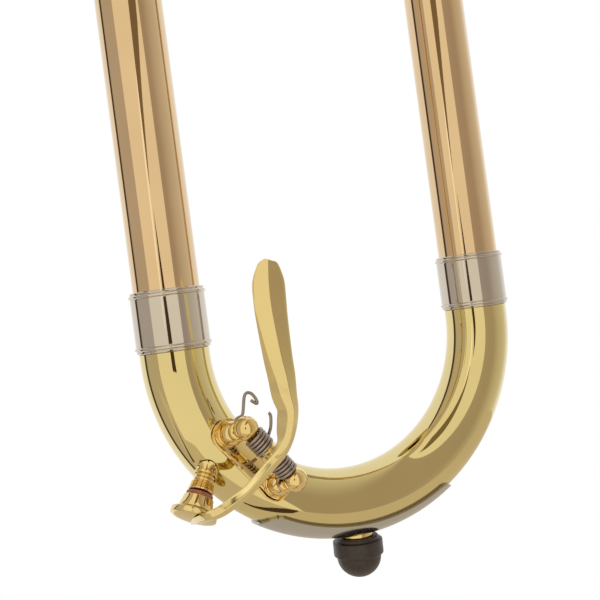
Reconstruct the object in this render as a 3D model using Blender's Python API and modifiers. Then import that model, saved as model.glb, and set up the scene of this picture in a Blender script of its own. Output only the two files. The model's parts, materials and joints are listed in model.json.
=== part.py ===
"""Alto trombone in E flat: hand slide with its water key, bell section, tuning slide and mouthpiece.

Metres, +Z up. The instrument hangs bell down: the bell's axis is the Z axis, its mouth is at Z = 0,
and the hand slide runs down beside it. Looking along +Y, the leg of the slide that feeds the bell
is on the left and the leg that takes the mouthpiece is on the right.
"""
import math

import bmesh
import bpy
from mathutils import Matrix, Vector

# Clearance left between pieces that are soldered, pressed or screwed together
GAP = 0.0003
# Clearance of the stockings in the outer tubes, and of the legs in the tuning sleeves
SLIDING_GAP = 0.00025

# Facets round a turned piece, round the bell and round a bent tube
ROUND = 16
BELL_ROUND = 26
BENT_SIDES = 16
SMALL_ROUND = 12

# Layout
LEG_SPACING = 0.0772
BELL_OFFSET = 0.106
CROOK_DROP = 0.394

# Outer slide
OUTER_TUBE_DIAMETER = 0.0144
OUTER_TUBE_WALL = 0.0004
OUTER_TUBE_LENGTH = 0.520
CROOK_DIAMETER = 0.01504
CROOK_WALL = 0.00055
CROOK_NECK_DIAMETER = 0.0142
CROOK_NECK_TOP = 0.008
FERRULE_BOTTOM = 0.0016
FERRULE_LENGTH = 0.013
FERRULE_WALL = 0.0005
BEAD_RISE = 0.00028
BEAD_LENGTH = 0.0013
COLLAR_LENGTH = 0.0314
COLLAR_WALL = 0.0006

# Guard plate and bumper on the outside of the slide bow, as angles round the bow from the left leg
GUARD_START = math.radians(56)
GUARD_END = math.radians(120.5)
GUARD_HALF_WRAP = math.radians(56)
GUARD_POINT = math.radians(5)
GUARD_TIP = 0.05
GUARD_THICKNESS = 0.0006
BUMPER_ANGLE = math.radians(88)
BUMPER_SEAT_DIAMETER = 0.0102
BUMPER_SEAT_DEPTH = 0.0012
BUMPER_STUD_DIAMETER = 0.004
BUMPER_STUD_LENGTH = 0.004
BUMPER_DIAMETER = 0.0114
BUMPER_BAND = 0.0032
BUMPER_HEIGHT = 0.0088

# Water key: place on the bow, hinge and nipple
KEY_ANGLE = math.radians(41)
KEY_LEAN = math.radians(19)
KEY_TWIST = math.radians(5.2)
HINGE_HEIGHT = 0.0161
POST_SPACING = 0.0151
POST_BALL_DIAMETER = 0.0049
ROD_DIAMETER = 0.0015
SADDLE_HALF_WIDTH = 0.0033
SADDLE_THICKNESS = 0.0008
NIPPLE_ANGLE = math.radians(34)
NIPPLE_TURN = math.radians(45)
NIPPLE_AIM = math.radians(71)
NIPPLE_LEAN = math.radians(23.5)
NIPPLE_HEIGHT = 0.0045
NIPPLE_BORE = 0.0028
NIPPLE_DIAMETER = 0.0054
NIPPLE_FOOT_DIAMETER = 0.0049
NIPPLE_FOOT_THICKNESS = 0.0007
NIPPLE_SUNK = 0.0026
CORK_THICKNESS = 0.0022
CORK_DIAMETER = 0.0057
CORK_SHOWING = 0.0009
CUP_DIAMETER = 0.0070
CUP_DEPTH = 0.0027
PAD_DIAMETER = 0.0098
PAD_THICKNESS = 0.0019
HINGE_TUBE_DIAMETER = 0.0033
HINGE_BOSS_DIAMETER = 0.0046
HINGE_BOSS_LENGTH = 0.0024

# Lever: places of its centre line from the hinge's middle, with width, thickness, side and facing
LEVER_COURSE = (
    ((-0.0158, 0.0096, -0.0124), 0.0010, 0.0008, 0.0003, (-0.50, -0.29, -0.82)),
    ((-0.0155, 0.0054, -0.0113), 0.0026, 0.0012, 0.0003, (-0.50, -0.29, -0.82)),
    ((-0.0152, 0.0024, -0.0104), 0.0027, 0.0013, 0.0003, (-0.50, -0.35, -0.79)),
    ((-0.0143, -0.0002, -0.0096), 0.0026, 0.0014, 0.0003, (-0.40, -0.66, -0.64)),
    ((-0.0121, -0.0013, -0.0088), 0.0023, 0.0014, 0.0003, (-0.25, -0.90, -0.35)),
    ((-0.0095, -0.0019, -0.0075), 0.0021, 0.0014, 0.0003, (-0.10, -0.98, -0.10)),
    ((-0.0065, -0.0026, -0.0057), 0.0020, 0.0014, 0.0003, (-0.05, -1.0, 0.05)),
    ((-0.0021, -0.0035, -0.0020), 0.0020, 0.0014, 0.0004, (0.05, -1.0, 0.05)),
    ((0.0003, -0.0039, -0.0001), 0.0020, 0.0014, 0.0006, (0.05, -1.0, 0.05)),
    ((0.0018, -0.0043, 0.0017), 0.0020, 0.0015, 0.0013, (0.05, -1.0, 0.05)),
    ((0.0029, -0.0047, 0.0038), 0.0021, 0.0016, 0.0024, (0.0, -1.0, 0.05)),
    ((0.0038, -0.0049, 0.0065), 0.0023, 0.0016, 0.0028, (0.0, -1.0, 0.0)),
    ((0.0041, -0.0049, 0.0091), 0.0028, 0.0016, 0.0025, (-0.05, -1.0, 0.0)),
    ((0.0038, -0.0048, 0.0120), 0.0037, 0.0015, 0.0016, (-0.05, -1.0, 0.0)),
    ((0.0036, -0.0047, 0.0159), 0.0044, 0.0014, 0.0011, (-0.05, -1.0, 0.0)),
    ((0.0031, -0.0048, 0.0198), 0.0050, 0.0013, 0.0008, (-0.05, -1.0, -0.05)),
    ((0.0024, -0.0053, 0.0272), 0.0060, 0.0012, 0.0005, (-0.05, -1.0, -0.1)),
    ((0.0021, -0.0058, 0.0312), 0.0064, 0.0011, 0.0004, (-0.05, -1.0, -0.1)),
    ((0.0021, -0.0062, 0.0348), 0.0063, 0.0011, 0.0003, (-0.05, -1.0, -0.15)),
    ((0.0022, -0.0066, 0.0373), 0.0053, 0.0010, 0.0003, (-0.05, -1.0, -0.15)),
    ((0.0023, -0.0068, 0.0386), 0.0036, 0.0009, 0.0003, (-0.05, -1.0, -0.15)),
    ((0.0024, -0.0069, 0.0392), 0.0013, 0.0008, 0.0002, (-0.05, -1.0, -0.15)),
)
# Section of the lever in shares of its width and thickness: a roof over a hollowed back
LEVER_LEFT = (-0.46, 0.20)
LEVER_RIDGE = (0.06, 0.60)
LEVER_RIGHT = (0.48, 0.18)
LEVER_BACK = (0.40, -0.40)
LEVER_HOLLOW = 0.08
LEVER_SIDE_SLOPE = math.radians(50)
LEVER_STEPS = 2

# Springs of the water key
SPRING_WIRE = 0.0005
SPRING_PITCH = 0.00098
SPRING_TURNS = 3
SPRING_POINTS = 10
SPRING_START = math.radians(215)
UPPER_LEG = (
    (0.00475, -0.00145, -0.00215),
    (0.00560, -0.00210, -0.00210),
    (0.00700, -0.00235, -0.00215),
    (0.00820, -0.00235, -0.00300),
)
UPPER_HOOK_RADIUS = 0.0014

# Inner slide
INNER_TUBE_DIAMETER = 0.0127
INNER_TUBE_WALL = 0.0003
INNER_TUBE_END = 0.020
STOCKING_LENGTH = 0.075
BARREL_OVERLAP = 0.0123
BARREL_LENGTH = 0.044
BARREL_BORE = 0.0152
BARREL_DIAMETER = 0.0166
BARREL_HEAD = 0.003
BARREL_BEAD_RISE = 0.0009
BARREL_BEAD_LENGTH = 0.0016
FELT_LENGTH = 0.0055
TUBE_STAND = 0.014
LEADPIPE_LENGTH = 0.180
LEADPIPE_WALL = 0.0005
RECEIVER_LENGTH = 0.050
RECEIVER_WALL = 0.0012
SHANK_TIP_DIAMETER = 0.0112
SHANK_TAPER = 0.05
SHANK_DEPTH = 0.034

# Joint between the hand slide and the bell section
TENON_NECK_DIAMETER = 0.0164
TENON_COLLAR_DIAMETER = 0.0208
TENON_LENGTH = 0.0297
TENON_BASE_DIAMETER = 0.017
TENON_TOP_DIAMETER = 0.0156
COLLAR_RISE = 0.003
NUT_DIAMETER = 0.0252
NUT_LENGTH = 0.0174
NUT_FLANGE = 0.0024
BELL_RECEIVER_LENGTH = 0.0424
BELL_RECEIVER_THREAD = 0.0154

# Slide lock
LOCK_RING_LENGTH = 0.009
LOCK_RING_WALL = 0.002
LOCK_HOOK_THICKNESS = 0.0011
LOCK_HOOK_DROP = 0.0165
LOCK_FOOT_DEPTH = 0.0026
LOCK_STUD_DIAMETER = 0.0028
LOCK_STUD_ANGLE = math.radians(-60)
LOCK_TURN = math.radians(30)
LOCK_ARM_LEAD = math.radians(32)
LOCK_ARM_TURN = math.radians(20)
LOCK_ARM_OVERLAP = 0.002
LOCK_FOOT_TURN = math.radians(44)

# Braces
BRACE_TUBE_DIAMETER = 0.0082
BRACE_TUBE_WALL = 0.0006
FLANGE_DIAMETER = 0.013
FLANGE_THICKNESS = 0.0007
FLANGE_SOCKET_DIAMETER = 0.0104
FLANGE_HEIGHT = 0.0075
FLANGE_SOCKET_DEPTH = 0.0042
OUTER_BRACE_DROP = 0.0187
INNER_BRACE_RISE = 0.027
LOW_BRACE_SHARE = 0.315
HIGH_BRACE_ABOVE_JOINT = 0.036

# Bell section
BELL_MOUTH_DIAMETER = 0.177
BELL_TAIL_DIAMETER = 0.018
BELL_LENGTH = 0.296
BELL_WALL = 0.0006
BELL_FLARE = 0.83
RIM_BEAD_DIAMETER = 0.0038
BELL_SEAM = 0.118
FLARE_STATIONS = 10
STEM_STATIONS = 7
NECKPIPE_DIAMETER = 0.0146
NECKPIPE_WALL = 0.0005

# Tuning slide
TUNING_LEG_NECK_DIAMETER = 0.015
TUNING_LEG_BELL_DIAMETER = 0.017
TUNING_LEG_WALL = 0.0004
TUNING_LEG_LENGTH = 0.0907
SLEEVE_WALL = 0.0004
SLEEVE_SHORTER_THAN_LEG = 0.0005
LEG_START = 0.0038
JOINT_FERRULE_LENGTH = 0.016
JOINT_FERRULE_WALL = 0.0006
BOW_FERRULE_LENGTH = 0.0084
BOW_STRAIGHT = 0.014
BOW_WALL = 0.0006
TUNING_BRACE_DIAMETER = 0.0056
TUNING_BRACE_END_DIAMETER = 0.0088
TUNING_BRACE_RISE = 0.0095

# Mouthpiece
MOUTHPIECE_LENGTH = 0.080
MOUTHPIECE_RIM_DIAMETER = 0.0372
MOUTHPIECE_CUP_DIAMETER = 0.0248
MOUTHPIECE_CUP_DEPTH = 0.023
MOUTHPIECE_THROAT = 0.0060

# Places that follow from the sizes above
BOW_RADIUS = LEG_SPACING / 2
CROOK_RADIUS = CROOK_DIAMETER / 2
LEFT_LEG = Vector((0.0, -BELL_OFFSET, 0.0))
RIGHT_LEG = Vector((LEG_SPACING, -BELL_OFFSET, 0.0))
CROOK_CENTRE = Vector((BOW_RADIUS, -BELL_OFFSET, -CROOK_DROP))
TUBE_BOTTOM = CROOK_CENTRE.z + CROOK_NECK_TOP + GAP
TUBE_TOP = TUBE_BOTTOM + OUTER_TUBE_LENGTH
BARREL_BOTTOM = TUBE_TOP - BARREL_OVERLAP
BARREL_TOP = BARREL_BOTTOM + BARREL_LENGTH
INNER_TOP = BARREL_TOP + TUBE_STAND
COLLAR_TOP = BARREL_BOTTOM - GAP
OUTER_BRACE_Z = COLLAR_TOP - OUTER_BRACE_DROP
INNER_BRACE_Z = BARREL_BOTTOM + INNER_BRACE_RISE
TENON_TOP = BARREL_TOP + GAP + TENON_LENGTH
TENON_COLLAR_TOP = BARREL_TOP + GAP + 2 * COLLAR_RISE
NECKPIPE_BOTTOM = TENON_TOP + 0.0015
BELL_RECEIVER_TOP = TENON_COLLAR_TOP + GAP + BELL_RECEIVER_LENGTH
BELL_JOINT_BOTTOM = BELL_LENGTH - JOINT_FERRULE_LENGTH / 2
LOW_BRACE_Z = BELL_RECEIVER_TOP + LOW_BRACE_SHARE * (BELL_JOINT_BOTTOM - BELL_RECEIVER_TOP)
SLEEVE_BOTTOM = BELL_LENGTH + GAP
SLEEVE_TOP = SLEEVE_BOTTOM + TUNING_LEG_LENGTH - SLEEVE_SHORTER_THAN_LEG
LEG_TOP = SLEEVE_BOTTOM + LEG_START + TUNING_LEG_LENGTH
BOW_FERRULE_BOTTOM = LEG_TOP - LEG_START - SLEEVE_SHORTER_THAN_LEG + GAP
BOW_END = LEG_TOP + GAP
BOW_CENTRE = Vector((0.0, -BELL_OFFSET / 2, BOW_END + BOW_STRAIGHT))
RECEIVER_TOP = BARREL_TOP + GAP + RECEIVER_LENGTH
SHANK_TIP = RECEIVER_TOP - SHANK_DEPTH

PALETTE = {
    "gold_brass": ((0.72, 0.42, 0.20), 0.16, 1.0),
    "yellow_brass": ((0.76, 0.58, 0.22), 0.14, 1.0),
    "nickel_silver": ((0.56, 0.53, 0.47), 0.18, 1.0),
    "bright_brass": ((0.80, 0.56, 0.22), 0.12, 1.0),
    "chromed_brass": ((0.62, 0.63, 0.64), 0.10, 1.0),
    "spring_steel": ((0.36, 0.31, 0.28), 0.30, 1.0),
    "silver_plate": ((0.80, 0.79, 0.76), 0.10, 1.0),
    "rubber": ((0.035, 0.022, 0.018), 0.55, 0.0),
    "cork": ((0.36, 0.12, 0.07), 0.80, 0.0),
    "felt": ((0.10, 0.03, 0.03), 0.95, 0.0),
}


def clear_scene():
    """Remove every object that the file starts with."""
    for thing in list(bpy.data.objects):
        bpy.data.objects.remove(thing, do_unlink=True)


def make_collection(name):
    group = bpy.data.collections.new(name)
    bpy.context.scene.collection.children.link(group)
    return group


def finish(thing, kind):
    """Give a piece its own material of one of the palette's kinds."""
    colour, roughness, metallic = PALETTE[kind]
    skin = bpy.data.materials.new(thing.name + "_" + kind)
    skin.use_nodes = True
    shader = skin.node_tree.nodes["Principled BSDF"]
    shader.inputs["Base Color"].default_value = (*colour, 1.0)
    shader.inputs["Roughness"].default_value = roughness
    shader.inputs["Metallic"].default_value = metallic
    skin.diffuse_color = (*colour, 1.0)
    thing.data.materials.clear()
    thing.data.materials.append(skin)


clear_scene()
PARTS = make_collection("alto_trombone")
CUTTERS = make_collection("cutters")


def add(name, data, kind=None):
    """Link a mesh or curve as a part, or as a cutter when it has no kind of finish."""
    thing = bpy.data.objects.new(name, data)
    if kind is None:
        CUTTERS.objects.link(thing)
        thing.hide_render = True
        thing.display_type = "WIRE"
    else:
        PARTS.objects.link(thing)
        finish(thing, kind)
    return thing


def standing(place, upward=(0, 0, 1), toward=(1, 0, 0)):
    """Matrix that stands a piece at a place, its own Z along upward and its X near toward."""
    up = Vector(upward).normalized()
    side = Vector(toward) - up * up.dot(Vector(toward))
    if side.length < 1e-6:
        side = up.orthogonal()
    side.normalize()
    across = up.cross(side)
    turn = Matrix((side, across, up)).transposed().to_4x4()
    return Matrix.Translation(Vector(place)) @ turn


def turned(name, outline, kind=None, stand=None, closed=False, steps=ROUND):
    """Turn an outline of (radius, height) pairs, which runs down the outer side, about its own Z."""
    mesh = bpy.data.meshes.new(name)
    points = [(radius, 0.0, height) for radius, height in outline]
    edges = [(i, i + 1) for i in range(len(points) - 1)]
    if closed:
        edges.append((len(points) - 1, 0))
    mesh.from_pydata(points, edges, [])
    thing = add(name, mesh, kind)
    screw = thing.modifiers.new("turning", "SCREW")
    screw.axis = "Z"
    screw.steps = steps
    screw.render_steps = steps
    screw.use_merge_vertices = True
    screw.merge_threshold = 0.000005
    screw.use_smooth_shade = True
    if stand is not None:
        thing.matrix_world = stand
    return thing


def sleeve(outer, inner, top, bottom):
    """Closed outline of a plain tube."""
    return [(outer, top), (outer, bottom), (inner, bottom), (inner, top)]


def beads(outer, top, bottom):
    """Outer side of a ferrule, from top to bottom, with a raised bead round each end."""
    bead = [(0.4, 0.0), (1.0, 0.5), (0.0, 1.0)]
    points = [(outer + BEAD_RISE * rise, top - BEAD_LENGTH * along) for rise, along in bead]
    points += [(outer + BEAD_RISE * rise, bottom + BEAD_LENGTH * along) for rise, along in reversed(bead)]
    return points


def beaded_sleeve(outer, inner, top, bottom):
    """Closed outline of a ferrule with a raised bead round each end."""
    return beads(outer, top, bottom) + [(inner, bottom), (inner, top)]


def arc(centre, radius, start, stop, count):
    """Points of an arc in the plane of an outline; angles from the outward direction."""
    points = []
    for i in range(count + 1):
        angle = start + (stop - start) * i / count
        points.append((centre[0] + radius * math.cos(angle), centre[1] + radius * math.sin(angle)))
    return points


def apply_boolean(body, tool, operation):
    step = body.modifiers.new(operation.lower(), "BOOLEAN")
    step.operation = operation
    step.solver = "EXACT"
    step.object = tool


def cut(body, tool):
    apply_boolean(body, tool, "DIFFERENCE")


def join(body, tool):
    apply_boolean(body, tool, "UNION")


def cylinder(name, radius, start, end, kind=None, steps=SMALL_ROUND):
    """Solid round bar between two points."""
    start = Vector(start)
    along = Vector(end) - start
    length = along.length
    outline = [(0.0, length), (radius, length), (radius, 0.0), (0.0, 0.0)]
    return turned(name, outline, kind, standing(start, along), steps=steps)


def bent_tube(name, points, radii, sides, kind=None, caps=False):
    """Round tube along points whose radius may change, as a mesh."""
    curve = bpy.data.curves.new(name, "CURVE")
    curve.dimensions = "3D"
    curve.bevel_depth = radii[0]
    curve.bevel_resolution = sides // 2 - 2
    curve.use_fill_caps = caps
    curve.resolution_u = 1
    curve.render_resolution_u = 0
    spline = curve.splines.new("POLY")
    spline.points.add(len(points) - 1)
    for knot, point, radius in zip(spline.points, points, radii):
        knot.co = (*point, 1.0)
        knot.radius = radius / radii[0]
    rough = bpy.data.objects.new(name + "_course", curve)
    CUTTERS.objects.link(rough)
    bpy.context.view_layer.update()
    depsgraph = bpy.context.evaluated_depsgraph_get()
    mesh = bpy.data.meshes.new_from_object(rough.evaluated_get(depsgraph))
    bpy.data.objects.remove(rough, do_unlink=True)
    mesh.name = name
    shell = bmesh.new()
    shell.from_mesh(mesh)
    bmesh.ops.remove_doubles(shell, verts=shell.verts, dist=0.000002)
    shell.to_mesh(mesh)
    shell.free()
    mesh.shade_smooth()
    return add(name, mesh, kind)


def solidify(thing, thickness):
    """Thicken an open surface inwards."""
    shell = thing.modifiers.new("wall", "SOLIDIFY")
    shell.thickness = thickness
    shell.offset = -1.0
    shell.use_even_offset = True


def wrapped_plate(name, columns, rows, place, low, thickness, kind=None):
    """Flat slab bent over a tube. place(u, v, height) gives the point at a height above the tube."""
    mesh = bpy.data.meshes.new(name)
    slab = bmesh.new()
    bmesh.ops.create_grid(slab, x_segments=columns, y_segments=rows, size=1.0)
    raised = bmesh.ops.extrude_face_region(slab, geom=list(slab.faces))
    top = {item for item in raised["geom"] if isinstance(item, bmesh.types.BMVert)}
    for vertex in slab.verts:
        height = low + thickness if vertex in top else low
        vertex.co = place(vertex.co.x, vertex.co.y, height)
    if slab.calc_volume(signed=True) < 0:
        bmesh.ops.reverse_faces(slab, faces=slab.faces)
    slab.to_mesh(mesh)
    slab.free()
    mesh.shade_smooth()
    mesh.set_sharp_from_angle(angle=math.radians(40))
    return add(name, mesh, kind)


def pivot(name, place, axis):
    """Empty on a joint's axis, for the pieces that move there."""
    empty = bpy.data.objects.new(name, None)
    empty.empty_display_size = 0.02
    PARTS.objects.link(empty)
    empty.matrix_world = standing(place, axis)
    return empty


def hang(pieces, empty):
    """Parent pieces to an empty and leave them where they are."""
    back = empty.matrix_world.inverted()
    for piece in pieces:
        piece.parent = empty
        piece.matrix_parent_inverse = back


def bow_frame(angle):
    """Centre of the bow's tube at an angle, with the outward, forward and near directions there."""
    outward = Vector((-math.cos(angle), 0.0, -math.sin(angle)))
    forward = Vector((math.sin(angle), 0.0, -math.cos(angle)))
    near = Vector((0.0, -1.0, 0.0))
    return CROOK_CENTRE + outward * BOW_RADIUS, outward, forward, near


def onto_bow(point, height):
    """Nearest point at a height above the bow's tube, and the direction away from the tube there."""
    offset = point - CROOK_CENTRE
    angle = math.atan2(-offset.z, -offset.x)
    centre = bow_frame(angle)[0]
    away = (point - centre).normalized()
    return centre + away * (CROOK_RADIUS + height), away


def build_crook():
    """Slide bow: a half circle with necks that fit the ferrules."""
    neck = CROOK_NECK_DIAMETER / 2
    shoulder = FERRULE_BOTTOM - GAP
    course = [(-BOW_RADIUS, CROOK_NECK_TOP, neck), (-BOW_RADIUS, shoulder, neck)]
    arcs = 16
    for i in range(arcs + 1):
        angle = math.pi * i / arcs
        course.append((-BOW_RADIUS * math.cos(angle), -BOW_RADIUS * math.sin(angle), CROOK_RADIUS))
    course += [(BOW_RADIUS, shoulder, neck), (BOW_RADIUS, CROOK_NECK_TOP, neck)]
    points = [CROOK_CENTRE + Vector((x, 0.0, z)) for x, z, radius in course]
    radii = [radius for x, z, radius in course]
    crook = bent_tube("slide_crook", points, radii, BENT_SIDES, "yellow_brass")
    solidify(crook, CROOK_WALL)
    return crook


def build_outer_tubes():
    pieces = []
    outer = OUTER_TUBE_DIAMETER / 2
    ferrule_inner = outer + GAP
    ferrule_outer = ferrule_inner + FERRULE_WALL
    collar_outer = ferrule_inner + COLLAR_WALL
    bottom = CROOK_CENTRE.z + FERRULE_BOTTOM
    for side, leg in (("left", LEFT_LEG), ("right", RIGHT_LEG)):
        outline = sleeve(outer, outer - OUTER_TUBE_WALL, TUBE_TOP, TUBE_BOTTOM)
        pieces.append(turned("outer_tube_" + side, outline, "gold_brass", standing(leg), True))
        outline = beaded_sleeve(ferrule_outer, ferrule_inner, bottom + FERRULE_LENGTH, bottom)
        pieces.append(turned("slide_ferrule_" + side, outline, "nickel_silver", standing(leg), True))
        outline = beaded_sleeve(collar_outer, ferrule_inner, COLLAR_TOP, COLLAR_TOP - COLLAR_LENGTH)
        pieces.append(turned("slide_collar_" + side, outline, "nickel_silver", standing(leg), True))
    return pieces


def build_guard():
    """Thin plate with pointed ends that protects the outside of the bow."""
    columns = 20
    point_columns = 5
    body_columns = columns - 2 * point_columns
    body = GUARD_END - GUARD_START - 2 * GUARD_POINT

    def place(u, v, height):
        column = columns * (u + 1) / 2
        from_end = min(column, columns - column)
        turn = math.pi / 2 * min(1.0, from_end / point_columns)
        depth = GUARD_POINT * (1 - math.cos(turn)) + body * max(0.0, from_end - point_columns) / body_columns
        angle = GUARD_START + depth if u < 0 else GUARD_END - depth
        wrap = GUARD_HALF_WRAP * max(GUARD_TIP, math.sin(turn))
        centre, outward, forward, near = bow_frame(angle)
        away = outward * math.cos(wrap * v) + near * math.sin(wrap * v)
        return centre + away * (CROOK_RADIUS + height)

    return wrapped_plate("bow_guard", columns, 6, place, GAP, GUARD_THICKNESS, "nickel_silver")


def bow_space(name, radius):
    """Cutter in the form of the whole bow."""
    bpy.ops.mesh.primitive_torus_add(
        major_segments=96, minor_segments=36, major_radius=BOW_RADIUS, minor_radius=radius
    )
    ring = bpy.context.object
    ring.name = name
    for group in list(ring.users_collection):
        group.objects.unlink(ring)
    CUTTERS.objects.link(ring)
    ring.hide_render = True
    ring.display_type = "WIRE"
    ring.matrix_world = standing(CROOK_CENTRE, (0, -1, 0))
    return ring


def build_bumper():
    """Brass seat soldered to the guard, and the rubber bumper pushed over its stud."""
    centre, outward, forward, near = bow_frame(BUMPER_ANGLE)
    guard_top = CROOK_RADIUS + GAP + GUARD_THICKNESS
    stand = standing(centre, outward, near)
    face = guard_top + GAP + BUMPER_SEAT_DEPTH
    flange = BUMPER_SEAT_DIAMETER / 2
    stud = BUMPER_STUD_DIAMETER / 2
    outline = [(0.0, face + BUMPER_STUD_LENGTH), (stud, face + BUMPER_STUD_LENGTH), (stud, face)]
    outline += [(flange, face), (flange, guard_top - 0.002), (0.0, guard_top - 0.002)]
    seat = turned("bumper_seat", outline, "bright_brass", stand)
    cut(seat, bow_space("guard_space", guard_top + GAP))
    top = face + GAP
    outer = BUMPER_DIAMETER / 2
    lower = outer - 0.0005
    bottom = top + BUMPER_HEIGHT
    dome = bottom - 0.0030
    socket = stud + GAP
    socket_end = face + BUMPER_STUD_LENGTH + GAP
    outline = [(0.0, bottom), (0.0016, bottom), (lower * 0.6, bottom - 0.0006), (lower * 0.86, bottom - 0.0015)]
    outline += [(lower, dome), (lower, top + 0.0007 + BUMPER_BAND), (outer, top + 0.0005 + BUMPER_BAND)]
    outline += [(outer, top + 0.0007), (outer - 0.0007, top), (socket, top)]
    outline += [(socket, socket_end), (0.0, socket_end)]
    rubber = turned("bumper_rubber", outline, "rubber", stand)
    return [seat, rubber]


def key_frame():
    """Middle of the water key's hinge, with the hinge, upward and outside directions."""
    centre, outward, forward, near = bow_frame(KEY_ANGLE)
    upward = near * math.cos(KEY_LEAN) - outward * math.sin(KEY_LEAN)
    outside = near * math.sin(KEY_LEAN) + outward * math.cos(KEY_LEAN)
    hinge = forward * math.cos(KEY_TWIST) + outside * math.sin(KEY_TWIST)
    outside = upward.cross(hinge)
    if outside.dot(outward) < 0:
        outside = -outside
    return centre + upward * HINGE_HEIGHT, hinge, upward, outside


def nipple_frame():
    """Point of the bow's surface under the nipple, and the nipple's direction, which leans down the bow."""
    centre, outward, forward, near = bow_frame(NIPPLE_ANGLE)
    foot = centre + (near * math.cos(NIPPLE_TURN) + outward * math.sin(NIPPLE_TURN)) * CROOK_RADIUS
    across = near * math.cos(NIPPLE_AIM) + outward * math.sin(NIPPLE_AIM)
    return foot, across * math.cos(NIPPLE_LEAN) + forward * math.sin(NIPPLE_LEAN)


def build_saddle():
    """Foot plate on the bow with two round lobes, and on each a turned post that ends in a ball."""
    middle, hinge, upward, outside = key_frame()
    foot = middle - upward * HINGE_HEIGHT
    half = POST_SPACING / 2

    def place(u, v, height):
        along = (half + SADDLE_HALF_WIDTH) * math.sin(u * math.pi / 2)
        beyond = max(0.0, abs(along) - half) / SADDLE_HALF_WIDTH
        waist = 1 - 0.22 * max(0.0, 1 - (along / half) ** 2)
        width = SADDLE_HALF_WIDTH * waist * max(0.12, math.sqrt(max(0.0, 1 - beyond ** 2)))
        flat = foot + upward * CROOK_RADIUS + hinge * along + outside * (width * v)
        return onto_bow(flat, height)[0]

    saddle = wrapped_plate("key_saddle", 12, 4, place, GAP, SADDLE_THICKNESS, "bright_brass")
    ball = POST_BALL_DIAMETER / 2
    neck = 0.0012
    for sign in (-1, 1):
        head = middle + hinge * (sign * half)
        base = onto_bow(foot + upward * CROOK_RADIUS + hinge * (sign * half), GAP + 0.0002)[0]
        height = (head - base).length
        join_angle = math.asin(-math.sqrt(1 - (neck / ball) ** 2))
        outline = [(0.0, height + ball)]
        outline += [(ball * math.cos(a), height + ball * math.sin(a))
                    for a in [math.pi / 2 + (join_angle - math.pi / 2) * i / 5 for i in range(1, 6)]]
        outline += [(0.0013, height * 0.62), (0.0021, height * 0.56), (0.0013, height * 0.50)]
        outline += [(0.0015, height * 0.26), (0.0026, height * 0.06), (0.0026, 0.0), (0.0, 0.0)]
        post = turned("post_form_%d" % (sign + 2), outline, None, standing(base, head - base), steps=SMALL_ROUND)
        join(saddle, post)
    reach = half + POST_BALL_DIAMETER
    bore = cylinder("rod_space", ROD_DIAMETER / 2 + GAP, middle - hinge * reach, middle + hinge * reach, steps=16)
    cut(saddle, bore)
    rod_end = half + ball * 0.8
    rod = cylinder("hinge_rod", ROD_DIAMETER / 2, middle - hinge * rod_end, middle + hinge * rod_end,
                   "spring_steel", 16)
    return [saddle, rod]


def build_nipple(crook):
    """Turned drain nipple on a foot that is bent over the bow, and the hole under it."""
    foot, direction = nipple_frame()
    side = direction.orthogonal().normalized()
    other = direction.cross(side)

    def place(u, v, height):
        square = Vector((u, v))
        flat = square * (max(abs(u), abs(v)) / max(square.length, 0.001) * NIPPLE_FOOT_DIAMETER / 2)
        return onto_bow(foot + side * flat.x + other * flat.y, height)[0]

    nipple = wrapped_plate("drain_nipple", 6, 6, place, GAP, NIPPLE_FOOT_THICKNESS, "bright_brass")
    outer = NIPPLE_DIAMETER / 2
    top = NIPPLE_HEIGHT
    outline = [(0.0, top), (outer, top), (outer, top - 0.0006), (outer - 0.0004, top - 0.0009)]
    outline += [(outer - 0.0004, top - 0.0014), (outer - 0.0001, top - 0.0017), (outer - 0.0001, top - 0.0023)]
    outline += [(outer - 0.0006, top - 0.0027), (outer - 0.0006, -NIPPLE_SUNK), (0.0, -NIPPLE_SUNK)]
    barrel = turned("nipple_form", outline, None, standing(foot, direction), steps=14)
    join(nipple, barrel)
    cut(nipple, bow_space("tube_space", CROOK_RADIUS + GAP))
    bore = cylinder("nipple_bore", NIPPLE_BORE / 2, foot - direction * NIPPLE_SUNK,
                    foot + direction * (NIPPLE_HEIGHT + GAP), steps=14)
    cut(nipple, bore)
    drain = cylinder("drain_hole", NIPPLE_BORE / 2, foot - direction * NIPPLE_SUNK,
                     foot + direction * NIPPLE_HEIGHT, steps=16)
    cut(crook, drain)
    return nipple


def lever_sections():
    """Centre, width, thickness, side and facing along the lever, from a smooth curve through its course."""
    middle = key_frame()[0]
    knots = LEVER_COURSE
    rows = []
    for i in range(len(knots) - 1):
        quad = [knots[max(0, min(len(knots) - 1, k))] for k in (i - 1, i, i + 1, i + 2)]
        for j in range(LEVER_STEPS):
            t = j / LEVER_STEPS
            weights = (-0.5 * t + t * t - 0.5 * t ** 3, 1 - 2.5 * t * t + 1.5 * t ** 3,
                       0.5 * t + 2 * t * t - 1.5 * t ** 3, -0.5 * t * t + 0.5 * t ** 3)
            centre = sum((Vector(knot[0]) * w for knot, w in zip(quad, weights)), Vector())
            facing = sum((Vector(knot[4]).normalized() * w for knot, w in zip(quad, weights)), Vector())
            width = sum(knot[1] * w for knot, w in zip(quad, weights))
            thickness = sum(knot[2] * w for knot, w in zip(quad, weights))
            side = sum(knot[3] * w for knot, w in zip(quad, weights))
            rows.append((middle + centre, width, thickness, side, facing))
    last = knots[-1]
    rows.append((middle + Vector(last[0]), last[1], last[2], last[3], Vector(last[4])))
    return rows


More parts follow.
